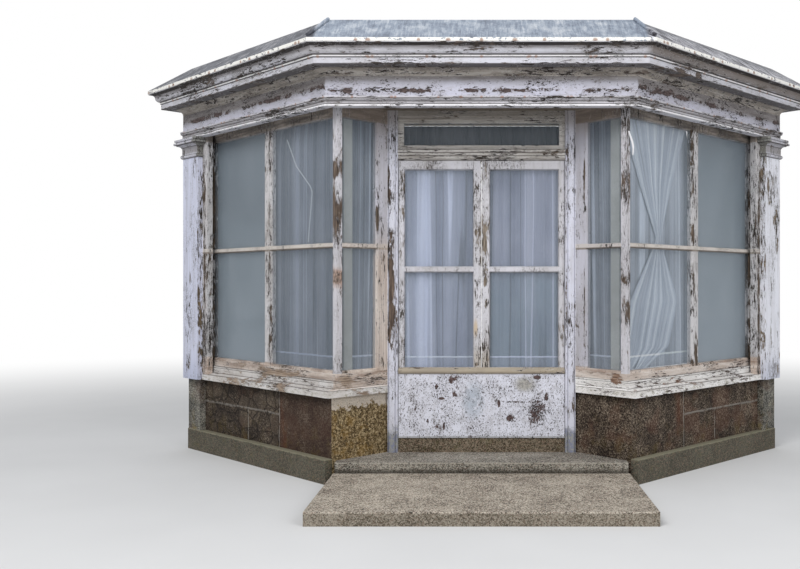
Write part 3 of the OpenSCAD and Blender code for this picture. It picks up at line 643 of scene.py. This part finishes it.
peeling(
    "frieze_paint", ["frieze"],
    paint=(192, 192, 206), wood=((40, 33, 33), (70, 58, 57), (104, 90, 86)),
    run="slant", bare=0.2, chips=0.42, grime=0.2, seed=7, size=0.6,
    wear=frieze_wear, tint=frieze_tint,
)


def architrave_tint(p, coat):
    """Greyer above its lowest step, which is nearly white, with dark lines under the steps and rust."""
    lowest = ARCHITRAVE_STEPS[0]
    grey = level_streaks(p, (96, 90, 86), (138, 134, 134), (172, 170, 174), 0.12)
    coat = p.over(coat, grey, p.between(p.z, lowest + 0.002, lowest + 0.044), 0.6)
    coat = p.over(coat, (240, 238, 240), p.between(p.z, lowest - 0.016, lowest - 0.002), 0.75)
    coat = p.over(coat, (46, 40, 38), p.lines(ARCHITRAVE_STEPS, 0.0026), 0.85)
    return p.over(coat, RUST, p.nails(lowest + 0.044, 0.012, 0.33, 0.29), 0.6)


peeling(
    "architrave_paint", ["architrave"],
    paint=(206, 205, 212), wood=((36, 31, 30), (70, 62, 57), (104, 94, 88)),
    run="along", bare=0.18, chips=0.52, grime=0.25, seed=11, size=0.6, tint=architrave_tint,
)


def capital_tint(p, coat):
    """A grey hollow, an olive side towards the windows and dark lines in the joints."""
    coat = p.over(coat, (122, 116, 112), p.between(p.z, 2.45, 2.5, 0.008), 0.55)
    coat = p.over(coat, (112, 112, 96), p.below(p.s, PILASTER_S - 0.007, PILASTER_S), 0.7)
    return p.over(coat, (58, 52, 50), p.lines(CAPITAL_STEPS, 0.003), 0.75)


peeling("capital_paint", both("capital"), bare=0.25, chips=0.5, seed=13, size=0.7, tint=capital_tint)


def pilaster_wear(p):
    """The side towards the window has lost most of its paint, from about head height down."""
    strip_s = PILASTER_S + 0.008
    inner = p.below(p.s, PILASTER_S + 0.002, strip_s)
    side = p.times(inner, p.below(p.z, 2.25, 2.4), 0.12)
    strip = p.times(p.between(p.s, strip_s, strip_s + 0.006, 0.003), 0.05)
    return p.add(side, strip, -0.01)


def pilaster_tint(p, coat):
    return p.over(coat, (150, 158, 186), p.below(p.z, 0.6, 0.85), 0.35)


def pilaster_paint(side, paint, wood, seed, *places):
    peeling(
        f"pilaster_paint_{side}", [f"pilaster_{side}"],
        paint=paint, wood=wood, bare=0.02, chips=0.28, grime=0.1, seed=seed, size=0.6,
        patches=turned(side, 0, *places), wear=pilaster_wear, tint=pilaster_tint,
    )


pilaster_paint(
    LEFT, (208, 211, 229), ((38, 36, 36), (86, 76, 62), (132, 112, 90)), 17,
    (1.94, 0.74, 0.05, 0.12, 0.16), (1.908, 1.43, 0.012, 0.07, 0.3),
    (1.93, 1.15, 0.07, 0.26, 0.05),
)
pilaster_paint(
    RIGHT, (228, 229, 237), ((52, 44, 38), (110, 96, 80), (150, 134, 114)), 18,
    (1.87, 2.16, 0.11, 0.2, 0.19), (1.96, 1.92, 0.06, 0.13, 0.14),
    (1.97, 1.7, 0.035, 0.16, 0.11), (1.95, 0.66, 0.08, 0.09, 0.12),
    (1.875, 1.1, 0.016, 0.4, 0.11),
)
dress(lead("lead"), "lead_roof")
dress(plain("soffit_boards", (126, 116, 104), (78, 70, 62), 8, run="along"), "soffit")
dress(plain("beam", (112, 84, 62), (72, 52, 38), 10, run="along"), "bressummer")


# Windows
def frame_tint(p, coat):
    """Brown, level-grained heads; pinkish lower rails; cream bars with a brown painted shade along their
    lower edge.
    """
    brown = level_streaks(p, (70, 60, 50), (116, 104, 92), (166, 154, 142), 0.12)
    coat = p.over(coat, brown, p.step(ragged_height(p, 0.02), HEAD_Z - 0.008, HEAD_Z + 0.006), 0.85)
    tan = level_streaks(p, (150, 124, 104), (190, 170, 154), (214, 200, 188), 0.12)
    coat = p.over(coat, tan, p.below(p.z, RAIL_Z, RAIL_Z + 0.02), 0.85)
    coat = p.over(coat, (202, 192, 180), p.between(p.z, *BAR), 0.6)
    # Painted shade along the lower edge of the cross bars.
    return p.over(coat, (104, 90, 76), p.between(p.z, BAR[0] - 0.002, BAR[0] + 0.012, 0.003), 0.7)


def splay_wear(p):
    """Bare strips down the mullion and the end stile; the heads and the cross bars are nearly whole."""
    broken = p.step(p.noise(5, 3, 0.5, p.stretched(0.2, 0.2, 1, 3)), 0.4, 0.52)
    mullion = p.times(p.between(p.s, *MULLION, 0.006), broken, 0.075)
    stile = p.times(p.between(p.s, *END_STILE, 0.006), p.below(p.z, 2.3, 2.4), 0.1)
    head = p.times(p.step(p.z, HEAD_Z - 0.004, HEAD_Z + 0.004), -0.04)
    end = p.between(p.s, PILASTER_S - 0.011, PILASTER_S - 0.003, 0.003)
    end = p.times(end, p.step(p.z, 1.9, 2), 0.12)
    bar = p.times(p.between(p.z, *BAR), -0.12)
    return p.add(mullion, stile, head, end, bar)


peeling(
    "frame_paint", both("splay_frame"),
    paint=(206, 204, 206), wood=((38, 33, 28), (74, 63, 52), (114, 98, 84)),
    bare=0.26, chips=0.56, seed=23, size=0.6, wear=splay_wear, tint=frame_tint,
)


def return_tint(p, coat):
    """Lavender-white above; the left one turns to tan below the cross bar."""
    coat = frame_tint(p, coat)
    grain = p.noise(60, 4, 0.6, p.stretched(1, 1, 0.03))
    tan = p.shades(grain, (0.38, (178, 160, 146)), (0.62, (220, 208, 196)))
    coat = p.over(coat, tan, p.below(ragged_height(p, 0.3, 5), 1.45, 1.85), p.is_left, 0.8)
    return p.over(coat, (134, 120, 108), p.step(p.z, 2.38, 2.56, 0, 0.6))


def return_paint(side, *places):
    peeling(
        f"return_paint_{side}", [f"return_frame_{side}"],
        paint=(194, 193, 203), bare=0.18, chips=0.3, seed=25, size=0.8,
        patches=places, tint=return_tint,
    )


return_paint(
    LEFT,
    ((-0.745, 0.362, 1.83), (0.018, 0.03, 0.12), 0.22),
    ((-0.7, 0.405, 1.52), (0.012, 0.03, 0.16), 0.14),
)
return_paint(
    RIGHT,
    ((0.735, 0.37, 2.1), (0.01, 0.02, 0.28), 0.22),
    ((0.735, 0.37, 1.25), (0.006, 0.02, 0.3), 0.16),
    ((0.742, 0.365, 1.85), (0.01, 0.02, 0.09), 0.1),
)


def post_tint(p, coat):
    rust = p.between(ragged_height(p, 0.1), 1.36, 1.48, 0.03)
    return p.over(coat, (176, 134, 104), rust, p.is_left, 0.7)


def post_paint(side, bare, chips, *lengths):
    """Paints a corner post, with bare lengths as (height, half length, strength)."""
    peeling(
        f"post_paint_{side}", [f"corner_post_{side}"],
        paint=(206, 204, 210), wood=((44, 36, 32), (88, 74, 64), (128, 112, 98)),
        bare=bare, chips=chips, grime=0.2, seed=29, size=0.45, tint=post_tint,
        patches=turned(side, POST_T, *[(POST_S, z, 0.07, reach, much) for z, reach, much in lengths]),
    )


post_paint(
    LEFT, 0.34, 0.6,
    (2.18, 0.08, 0.12), (1.86, 0.24, 0.13), (1.42, 0.07, 0.1), (2.44, 0.12, 0.05), (1.06, 0.3, -0.08),
)
post_paint(
    RIGHT, 0.22, 0.5,
    (2.48, 0.06, 0.12), (2.04, 0.16, 0.1), (1.4, 0.05, 0.14), (1.18, 0.12, 0.14), (1.7, 0.18, -0.06),
)


def sill_tint(p, coat):
    """Pinkish band above the board, a dirty nosing with moss, and dark lines in the joints."""
    pink = level_streaks(p, (142, 120, 104), (188, 170, 156), (210, 198, 188), 0.12)
    coat = p.over(coat, pink, p.step(p.z, SILL_FLAT, SILL_FLAT + 0.004), 0.75)
    inner = p.times(p.below(p.s, 0.05, 0.062), p.step(p.y, 0.04, 0.06), p.is_left)
    coat = p.over(coat, pink, inner, p.step(p.z, NOSING_TOP, NOSING_TOP + 0.01), 0.8)
    moss = p.step(p.noise(40, 6, 0.75, p.stretched(0.6, 0.6, 1)), 0.52, 0.62)
    nosing = p.below(p.z, NOSING_TOP - 0.002, NOSING_TOP + 0.002)
    coat = p.over(coat, (126, 120, 84), nosing, moss, 0.55)
    return p.over(coat, (62, 52, 44), p.lines(SILL_STEPS, 0.002), 0.7)


def sill_paint(side, **look):
    """Paints a sill, barer at a rusty nail near the corner post."""
    peeling(
        f"sill_paint_{side}", [f"sill_{side}"],
        dirt=(146, 134, 120), run="along", size=0.6, tint=sill_tint,
        patches=turned(side, 0.2, (0.05, 0.7, 0.07, 0.05, 0.12)), **look,
    )


sill_paint(
    LEFT, paint=(218, 215, 213), wood=((92, 76, 64), (142, 124, 108), (176, 160, 144)),
    bare=0.42, chips=0.52, grime=0.35, seed=30,
)
sill_paint(
    RIGHT, paint=(236, 234, 232), wood=((80, 62, 52), (126, 98, 82), (166, 144, 126)),
    bare=0.14, chips=0.46, grime=0.22, seed=32,
)
dress(glass("splay_glass", True), "splay_glass_left")
dress(glass("glass"), "splay_glass_right", "return_glass", "fanlight_glass", "door_glass")


def screens(name):
    """Plain board behind the far panes, darker towards the top and on the left."""
    p = Paint(name, 0.85, 0.1)
    cloud = p.noise(1.6, 3, 0.5)
    tone = p.add(p.times(p.z, 0.35), p.times(cloud, 0.3), p.times(p.is_left, 0.14))
    board = p.shades(tone, (0.45, (158, 167, 174)), (0.95, (120, 131, 138)), (1, (112, 121, 128)))
    return p.colour(board)


dress(screens("screen"), "window_screens")
dress(plain("storey_post_paint", (178, 180, 176), (156, 156, 150), 5), "storey_posts")
dress(plain("window_board_paint", (150, 142, 132), (104, 96, 88), 7), "window_boards")
dress(plain("rod_brass", (150, 132, 96), (112, 96, 66), 30, 0.4), "curtain_rods")


# Doorway
def jamb_tint(p, coat):
    """Brown under the head; blue and green traces at the foot."""
    coat = p.over(coat, (136, 124, 114), p.step(p.z, 2.42, 2.58, 0, 0.6))
    traces = p.shades(p.noise(50, 4, 0.7), (0.42, (52, 62, 100)), (0.58, (112, 112, 92)))
    return p.over(coat, traces, p.below(ragged_height(p, 0.3, 20), 0.28, 0.36), 0.7)


def jamb_paint(side, deep, *places):
    peeling(
        f"jamb_paint_{side}", [f"door_jamb_{side}"],
        paint=(208, 209, 221), wood=((48, 40, 36), (82, 68, 58), (114, 98, 86)),
        bare=0.12, chips=0.36, grime=0.15, seed=37, size=0.5,
        patches=facing(DOOR_Y, deep, *places), tint=jamb_tint,
    )


jamb_paint(
    LEFT, 0.05,
    (-0.672, 2.08, 0.022, 0.18, 0.22), (-0.655, 1.62, 0.038, 0.2, 0.17),
    (-0.65, 1.34, 0.032, 0.28, 0.16), (-0.652, 1.05, 0.038, 0.2, 0.17),
    (-0.612, 1.3, 0.01, 0.8, 0.06), (-0.655, 1.84, 0.04, 0.07, -0.2),
)
jamb_paint(RIGHT, 0.03, (0.612, 1.2, 0.01, 0.7, 0.06), (0.635, 1.95, 0.02, 0.3, 0.04))


def transom_tint(p, coat):
    """Cream, browner under the head, with dark lines in the joints."""
    coat = p.over(coat, level_streaks(p, (164, 158, 152), (202, 198, 194), (222, 220, 217)), 0.75)
    coat = p.over(coat, (112, 104, 94), p.step(p.z, 2.5, 2.6, 0, 0.7))
    return p.over(coat, (62, 54, 46), p.lines(TRANSOM_STEPS, 0.003), 0.8)


peeling(
    "transom_paint", ["door_head", "transom", "fanlight_frame"],
    paint=(196, 190, 183), run="along", bare=0.1, chips=0.38, seed=41, size=0.5, tint=transom_tint,
)


def leaf_wear(p):
    """The two stiles that meet are worst, from the middle of the doors down; rails and bars are whole."""
    meeting = p.below(p.out, MEETING_X - 0.025, MEETING_X)
    seam = p.times(p.below(p.out, 0.003, 0.007), 0.06)
    beyond = p.step(p.out, MEETING_X - 0.005, MEETING_X + 0.005)
    top_rail = p.times(p.step(p.z, LEAF_RAIL_Z - 0.004, LEAF_RAIL_Z + 0.004), beyond, -0.1)
    bars = p.times(p.between(p.z, *LEAF_BAR, 0.003), beyond, -0.1)
    return p.add(p.times(meeting, p.below(p.z, 1.6, 1.85), 0.025), seam, top_rail, bars)


def leaf_tint(p, coat):
    """The meeting stiles are tan from about waist height down, and yellow in one place."""
    meeting = p.below(p.out, MEETING_X - 0.01, MEETING_X)
    coat = p.over(coat, (172, 162, 148), meeting, p.below(ragged_height(p, 0.2), 0.8, 1), 0.7)
    return p.over(coat, (190, 160, 110), p.patch((-0.043, LEAF_Y, 1.05), (0.02, 0.05, 0.08)), 0.6)


peeling(
    "leaf_paint", both("door_leaf"),
    paint=(202, 201, 207), wood=((50, 44, 40), (104, 93, 82), (146, 134, 120)),
    bare=0.22, chips=0.58, grime=0.25, seed=43, size=0.6,
    patches=facing(
        LEAF_Y, 0.02,
        (-0.04, 1.745, 0.012, 0.025, 0.3), (0.025, 1.773, 0.014, 0.03, 0.3),
        (0.022, 1.665, 0.02, 0.08, 0.14), (0.025, 1.387, 0.012, 0.04, 0.3),
        (-0.043, 1.34, 0.015, 0.11, 0.12), (0.033, 1.22, 0.015, 0.08, 0.2),
        (-0.035, 0.79, 0.015, 0.02, 0.2),
    ),
    wear=leaf_wear, tint=leaf_tint,
)


def kick_tint(p, coat):
    """Old grey-blue and tan coats that show where the white is thin."""
    blue = p.patch((-0.06, DOOR_Y, 0.53), (0.1, 0.1, 0.16))
    coat = p.over(coat, (162, 172, 184), blue, p.step(p.noise(9, 6, 0.7), 0.42, 0.52), 0.7)
    tan = p.patch((0.314, DOOR_Y, 0.647), (0.095, 0.1, 0.07))
    old = p.shades(p.noise(50, 5, 0.7), (0.42, (116, 112, 104)), (0.58, (164, 160, 148)))
    coat = p.over(coat, old, tan, p.step(p.noise(16, 6, 0.7), 0.36, 0.44), 0.85)
    return p.over(coat, (120, 120, 110), p.below(p.z, 0.27, 0.276), 0.5)


peeling(
    "kick_paint", ["kick_board"],
    paint=(216, 217, 228), wood=((42, 34, 36), (78, 62, 61), (104, 84, 80)),
    run="flakes", bare=0.06, chips=0.5, grime=0.1, seed=47, size=0.45,
    gather=0.22, crackle=0.65,
    patches=facing(
        DOOR_Y, 0.1,
        (0.411, 0.449, 0.08, 0.125, 0.19), (0.47, 0.555, 0.02, 0.04, 0.2),
        (0.21, 0.4, 0.04, 0.03, 0.2), (0.4, 0.7, 0.03, 0.018, 0.26),
        (-0.221, 0.672, 0.012, 0.022, 0.34), (-0.325, 0.632, 0.016, 0.018, 0.3),
        (-0.29, 0.545, 0.026, 0.012, 0.3), (-0.272, 0.343, 0.01, 0.032, 0.34),
        (-0.389, 0.38, 0.012, 0.02, 0.3), (0.125, 0.505, 0.012, 0.03, 0.3),
        (0.255, 0.52, 0.12, 0.012, 0.13),
    ),
    tint=kick_tint,
)
peeling(
    "ledge_paint", ["ledge_moulding"],
    paint=(176, 164, 146), run="along", bare=0.1, chips=0.3, seed=51, grime=0.4,
)

# Stone
dress(granite("stallriser_granite", (66, 55, 47), (158, 144, 126), 0, 0.2, True), *both("stallriser"))
dress(granite("pier_granite", (104, 102, 96), (176, 172, 160), 3, 0.6, False), *both("pier"))


def kerb_tint(p, stone):
    top = p.step(ragged_height(p, 0.03, 30), KERB_Z - 0.01, KERB_Z - 0.002)
    return p.over(stone, (150, 146, 124), top, 0.6)


def slab_tint(p, stone):
    return p.over(stone, (92, 84, 70), p.below(p.z, SLAB_Z - 0.012, SLAB_Z - 0.004), 0.55)


def step_tint(p, stone):
    """The worn nosing is pale, the riser dirty and darkest at its foot."""
    riser = p.below(p.y, RISER_Y + 0.001, RISER_Y + 0.004)
    riser = p.times(riser, p.below(p.z, STEP_Z - 0.01, STEP_Z - 0.005))
    stone = p.over(stone, (96, 92, 82), riser, 0.25)
    foot = p.below(ragged_height(p, 0.03, 30), SLAB_Z + 0.008, SLAB_Z + 0.043)
    stone = p.over(stone, (48, 44, 38), riser, foot, 0.75)
    nosing = p.between(p.z, STEP_Z - 0.007, STEP_Z + 0.001, 0.003)
    nosing = p.times(nosing, p.below(p.y, RISER_Y + 0.006, RISER_Y + 0.01))
    return p.over(stone, (176, 170, 158), nosing, p.step(p.noise(30, 4, 0.6), 0.38, 0.5), 0.8)


dress(worn_stone("kerb_concrete", (80, 78, 68), (106, 103, 90), 2, 0.45, kerb_tint, 0.85), *both("kerb"))
dress(worn_stone("slab_stone", (150, 140, 127), (212, 203, 188), 4, 0.12, slab_tint), "lower_slab")
dress(worn_stone("step_stone", (122, 118, 110), (190, 185, 174), 6, 0.2, step_tint), "upper_step")
dress(worn_stone("threshold_stone", (88, 78, 63), (138, 127, 110), 8, 0.45, None, 0.65), "threshold")


def piece_from(mesh, name, material):
    """Turns a finished bmesh into a piece of the scene."""
    data = bpy.data.meshes.new(name)
    mesh.to_mesh(data)
    mesh.free()
    data.materials.append(material)
    piece = bpy.data.objects.new(name, data)
    scene.collection.objects.link(piece)
    return piece


# Curtains
NET_COLUMN = 0.0045
NET_ROWS = 90
# Each wave of the folds, as (its number against the widest, its share of the depth)
NET_WAVES = ((1, 0.6), (1.9, 0.3), (0.37, 0.25))


def curtain(name, edges, place, folds, depth, seed, node, material, gap=None):
    """A gathered curtain. edges holds (height, x of one edge, x of the other) from the top down,
    place(x, off, z) gives the point x along the rod and off away from its plane, and gap(u, z) is true
    where cloth is torn away."""
    rand = random.Random(seed)
    waves = []
    for number, share in NET_WAVES:
        waves.append((folds * number * rand.uniform(0.85, 1.15), rand.uniform(0, 6.3), share))
    top, bottom = edges[0][0], edges[-1][0]
    width = max(b - a for z, a, b in edges)
    columns = int(width / NET_COLUMN)
    mesh = bmesh.new()
    grid = []
    shares = []
    for j in range(NET_ROWS + 1):
        v = j / NET_ROWS
        z = top + (bottom - top) * v
        upper = max(i for i in range(len(edges) - 1) if edges[i][0] >= z - 1e-6)
        (z0, a0, b0), (z1, a1, b1) = edges[upper], edges[upper + 1]
        w = (z0 - z) / (z0 - z1)
        start, end = a0 + (a1 - a0) * w, b0 + (b1 - b0) * w
        tight = min(1, 0.25 + (end - start) / width)
        line = []
        for i in range(columns + 1):
            u = i / columns
            lean = 0.35 * noise.noise(Vector((u * 3, v * 1.6, seed)))
            across = u + 0.01 * lean * v
            off = sum(w * math.sin(k * math.tau * across + a + 2.2 * lean) for k, a, w in waves)
            off *= depth * (0.75 + 0.35 * v) * tight
            shift = 0.006 * noise.noise(Vector((u * 9, v * 2.5, seed + 5))) * math.sin(math.pi * u)
            line.append(mesh.verts.new(place(start + (end - start) * u + shift, off, z)))
            shares.append((u, v))
        grid.append(line)
    for j in range(NET_ROWS):
        z = top + (bottom - top) * (j + 0.5) / NET_ROWS
        for i in range(columns):
            if gap and gap((i + 0.5) / columns, z):
                continue
            mesh.faces.new((grid[j][i], grid[j + 1][i], grid[j + 1][i + 1], grid[j][i + 1]))
    area = sum(f.calc_area() for f in mesh.faces)
    piece = piece_from(mesh, name, material)
    for number, tag in enumerate(("across", "down")):
        values = piece.data.attributes.new(tag, "FLOAT", "POINT")
        values.data.foreach_set("value", [share[number] for share in shares])
    piece.data.polygons.foreach_set("use_smooth", [True] * len(piece.data.polygons))
    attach(piece, "root")
    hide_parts(node)


LEFT_NET = cloth("left_net", (122, 128, 142), (72, 78, 90), 7, 1)
RIGHT_NET = cloth("right_net", (200, 208, 220), (160, 169, 182), 9, 2, 0.6)
BACK_NET = cloth("back_net", (182, 190, 202), (134, 140, 150), 8, 3)
RETURN_NET = cloth("return_net", (150, 157, 170), (72, 78, 90), 4.5, 4)
DOOR_LEFT_NET = cloth("door_left_net", (172, 178, 198), (122, 128, 150), 3.4, 5, 1.2, 0.14)
DOOR_RIGHT_NET = cloth(
    "door_right_net", (164, 168, 188), (110, 115, 138), 4, 7, 1.2, 0.14, (100, 122, 136)
)
# The fanlight's net is a much darker copy of the net: painted shade.
FAN_NET_IN_SHADE = cloth("fan_net_in_shade", (56, 54, 58), (24, 23, 26), 26, 6)

# Where the curtains hang: behind the frieze face on a splay, along it in the returns and in y at the doors
NET_T = 0.193
RETURN_NET_S = 0.107
DOOR_NET_Y = 0.512


def on_splay(t, side):
    return lambda x, off, z: at(x, t + off, z, side)


def on_return(side):
    return lambda x, off, z: at(RETURN_NET_S + off, x, z, side)


def on_doors(side):
    return lambda x, off, z: Vector((SIGN[side] * x, DOOR_NET_Y + off, z))


NET_TOP = 2.537
NET_FOOT = 0.767
FULL_DROP = [(NET_TOP, 0.084, 0.925), (2.4, 0.084, 0.955), (NET_FOOT, 0.084, 0.955)]
# The right curtain is tied in a knot and flares, torn, below it.
KNOTTED = [
    (NET_TOP, 0.084, 0.88),
    (2.1, 0.29, 0.69),
    (1.72, 0.492, 0.56),
    (1.68, 0.49, 0.562),
    (1.245, 0.18, 0.777),
    (0.913, 0.1, 0.656),
    (0.784, 0.09, 0.4),
    (NET_FOOT, 0.09, 0.36),
]
LEANING = [(NET_TOP, 0.289, 0.612), (1.65, 0.289, 0.585), (NET_FOOT, 0.289, 0.545)]
DOOR_DROP = [(2.21, 0.004, 0.598), (0.764, 0.004, 0.598)]
FAN_DROP = [(2.525, -0.598, 0.598), (2.368, -0.598, 0.598)]


def tears(u, z):
    """Two slits that widen towards the hem."""
    first = abs(u - 0.8) < 0.05 * (1.25 - z)
    second = abs(u - 0.45 - 0.1 * (0.9 - z)) < 0.3 * (0.87 - z)
    return first or second


curtain("splay_net_left", FULL_DROP, on_splay(NET_T, LEFT), 9, 0.011, 2, "splay_curtains", LEFT_NET)
knotted = on_splay(NET_T - 0.004, RIGHT)
curtain("splay_net_right", KNOTTED, knotted, 8, 0.009, 4, "splay_curtains", RIGHT_NET, tears)
behind = on_splay(NET_T + 0.013, RIGHT)
curtain("splay_back_net_right", FULL_DROP, behind, 10, 0.003, 5, "splay_curtains", BACK_NET)
curtain("return_net_left", LEANING, on_return(LEFT), 5, 0.01, 6, "return_curtains", RETURN_NET)
curtain("return_net_right", LEANING, on_return(RIGHT), 5, 0.01, 8, "return_curtains", RETURN_NET)
curtain("door_net_left", DOOR_DROP, on_doors(LEFT), 7, 0.01, 10, "door_curtains", DOOR_LEFT_NET)
curtain("door_net_right", DOOR_DROP, on_doors(RIGHT), 7, 0.01, 12, "door_curtains", DOOR_RIGHT_NET)
curtain("fanlight_net", FAN_DROP, on_doors(RIGHT), 22, 0.009, 17, "fanlight_curtain", FAN_NET_IN_SHADE)


# Loose paint
def paint_curl(name, s, t, top, drop, width, lean, material):
    """A strip of paint that has come off a post and hangs away from it, held at its upper end. lean is
    how far its foot stands off."""
    thick = 0.0012
    rows = 32
    mesh = bmesh.new()
    rings = []
    for i in range(rows + 1):
        v = i / rows
        turn = 0.9 * v
        half = width / 2 * (1 - 0.55 * v**2)
        away = lean * math.sin(math.pi * 0.72 * v) ** 1.3
        centre = Vector((s + 0.02 * v, t - thick - away))
        over = Vector((math.cos(turn), -math.sin(turn)))
        out = Vector((-math.sin(turn), -math.cos(turn)))
        ring = []
        for layer, order in ((0, (-1, -0.5, 0, 0.5, 1)), (thick, (1, 0.5, 0, -0.5, -1))):
            for k in order:
                point = centre + over * half * k + out * (layer + 0.35 * half * k * k * v)
                ring.append(mesh.verts.new(at(point.x, point.y, top - drop * v)))
        rings.append(ring)
    for upper, lower in zip(rings, rings[1:]):
        for i in range(len(upper)):
            j = (i + 1) % len(upper)
            mesh.faces.new((upper[i], lower[i], lower[j], upper[j]))
    for ring in (rings[0], rings[-1]):
        for i in range(4):
            mesh.faces.new((ring[i], ring[i + 1], ring[8 - i], ring[9 - i]))
    bmesh.ops.recalc_face_normals(mesh, faces=mesh.faces)
    piece = piece_from(mesh, name, material)
    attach(piece, "root")


curl_paint = plain("curl_paint", (238, 238, 240), (196, 194, 196), 14, 0.7, "up", 0.0004)
paint_curl(
    "paint_curl", POST_S + 0.006, POST_T, 2.425, drop=0.165, width=0.017, lean=0.026, material=curl_paint,
)


# Studio
def pale_floor(name):
    """Keeps the shadow near the object and turns to white far away, as the camera sees it."""
    p = Paint(name, 0.9, 0.1)
    seen = p.node("LightPath").outputs["Is Camera Ray"]
    far = p.times(p.step(p.distance(p.place), 4, 13), seen)
    glow = p.node("Emission", Color=(1, 1, 1, 1), Strength=1)
    blend = p.node("MixShader", Fac=far)
    p.put(blend.inputs[1], p.shader.outputs[0])
    p.put(blend.inputs[2], glow.outputs[0])
    p.put(p.nodes["Material Output"].inputs["Surface"], blend.outputs[0])
    return p.colour(p.shades(p.noise(0.8, 2), (0.3, (216, 216, 216)), (0.7, (221, 221, 221))))


bpy.ops.mesh.primitive_plane_add(size=60, location=(0, 0, 0))
floor = bpy.context.object
floor.name = "floor"
floor.data.materials.append(pale_floor("floor_tone"))


def lamp(name, place, target, size, power):
    data = bpy.data.lights.new(name, "AREA")
    data.shape = "DISK"
    data.size = size
    data.energy = power
    obj = bpy.data.objects.new(name, data)
    obj.location = place
    obj.rotation_euler = (Vector(target) - Vector(place)).to_track_quat("-Z", "Y").to_euler()
    scene.collection.objects.link(obj)


lamp("key", place=(-3.5, -6.5, 7.5), target=(0, 0.5, 1.4), size=5, power=520)
lamp("fill", place=(5, -6, 4.5), target=(0, 0.5, 1.2), size=5, power=230)

# Soft light all round, which the camera, reflections and the glass see as white
world = bpy.data.worlds.new("studio")
scene.world = world
world.use_nodes = True
nodes, links = world.node_tree.nodes, world.node_tree.links
nodes.clear()
output = nodes.new("ShaderNodeOutputWorld")
choose = nodes.new("ShaderNodeMixShader")
rays = nodes.new("ShaderNodeLightPath")
seen = rays.outputs["Is Camera Ray"]
for kind in ("Is Glossy Ray", "Is Transmission Ray"):
    either = nodes.new("ShaderNodeMath")
    either.operation = "MAXIMUM"
    links.new(seen, either.inputs[0])
    links.new(rays.outputs[kind], either.inputs[1])
    seen = either.outputs[0]
links.new(seen, choose.inputs["Fac"])
for number, (colour, strength) in enumerate((((0.95, 0.97, 1, 1), 0.55), ((1, 1, 1, 1), 1)), 1):
    light = nodes.new("ShaderNodeBackground")
    light.inputs["Color"].default_value = colour
    light.inputs["Strength"].default_value = strength
    links.new(light.outputs[0], choose.inputs[number])
links.new(choose.outputs[0], output.inputs["Surface"])

# The camera stands on the centre line, and its shift frames the bay as in the photo.
lens = bpy.data.cameras.new("camera")
lens.sensor_width = 36
lens.lens = 40.27
lens.shift_x = -0.1019
lens.shift_y = 0.0006
camera = bpy.data.objects.new("camera", lens)
camera.location = (0, -6.03, 1.365)
camera.rotation_euler = (math.pi / 2, 0, 0)
scene.collection.objects.link(camera)
scene.camera = camera
scene.view_settings.view_transform = "Standard"
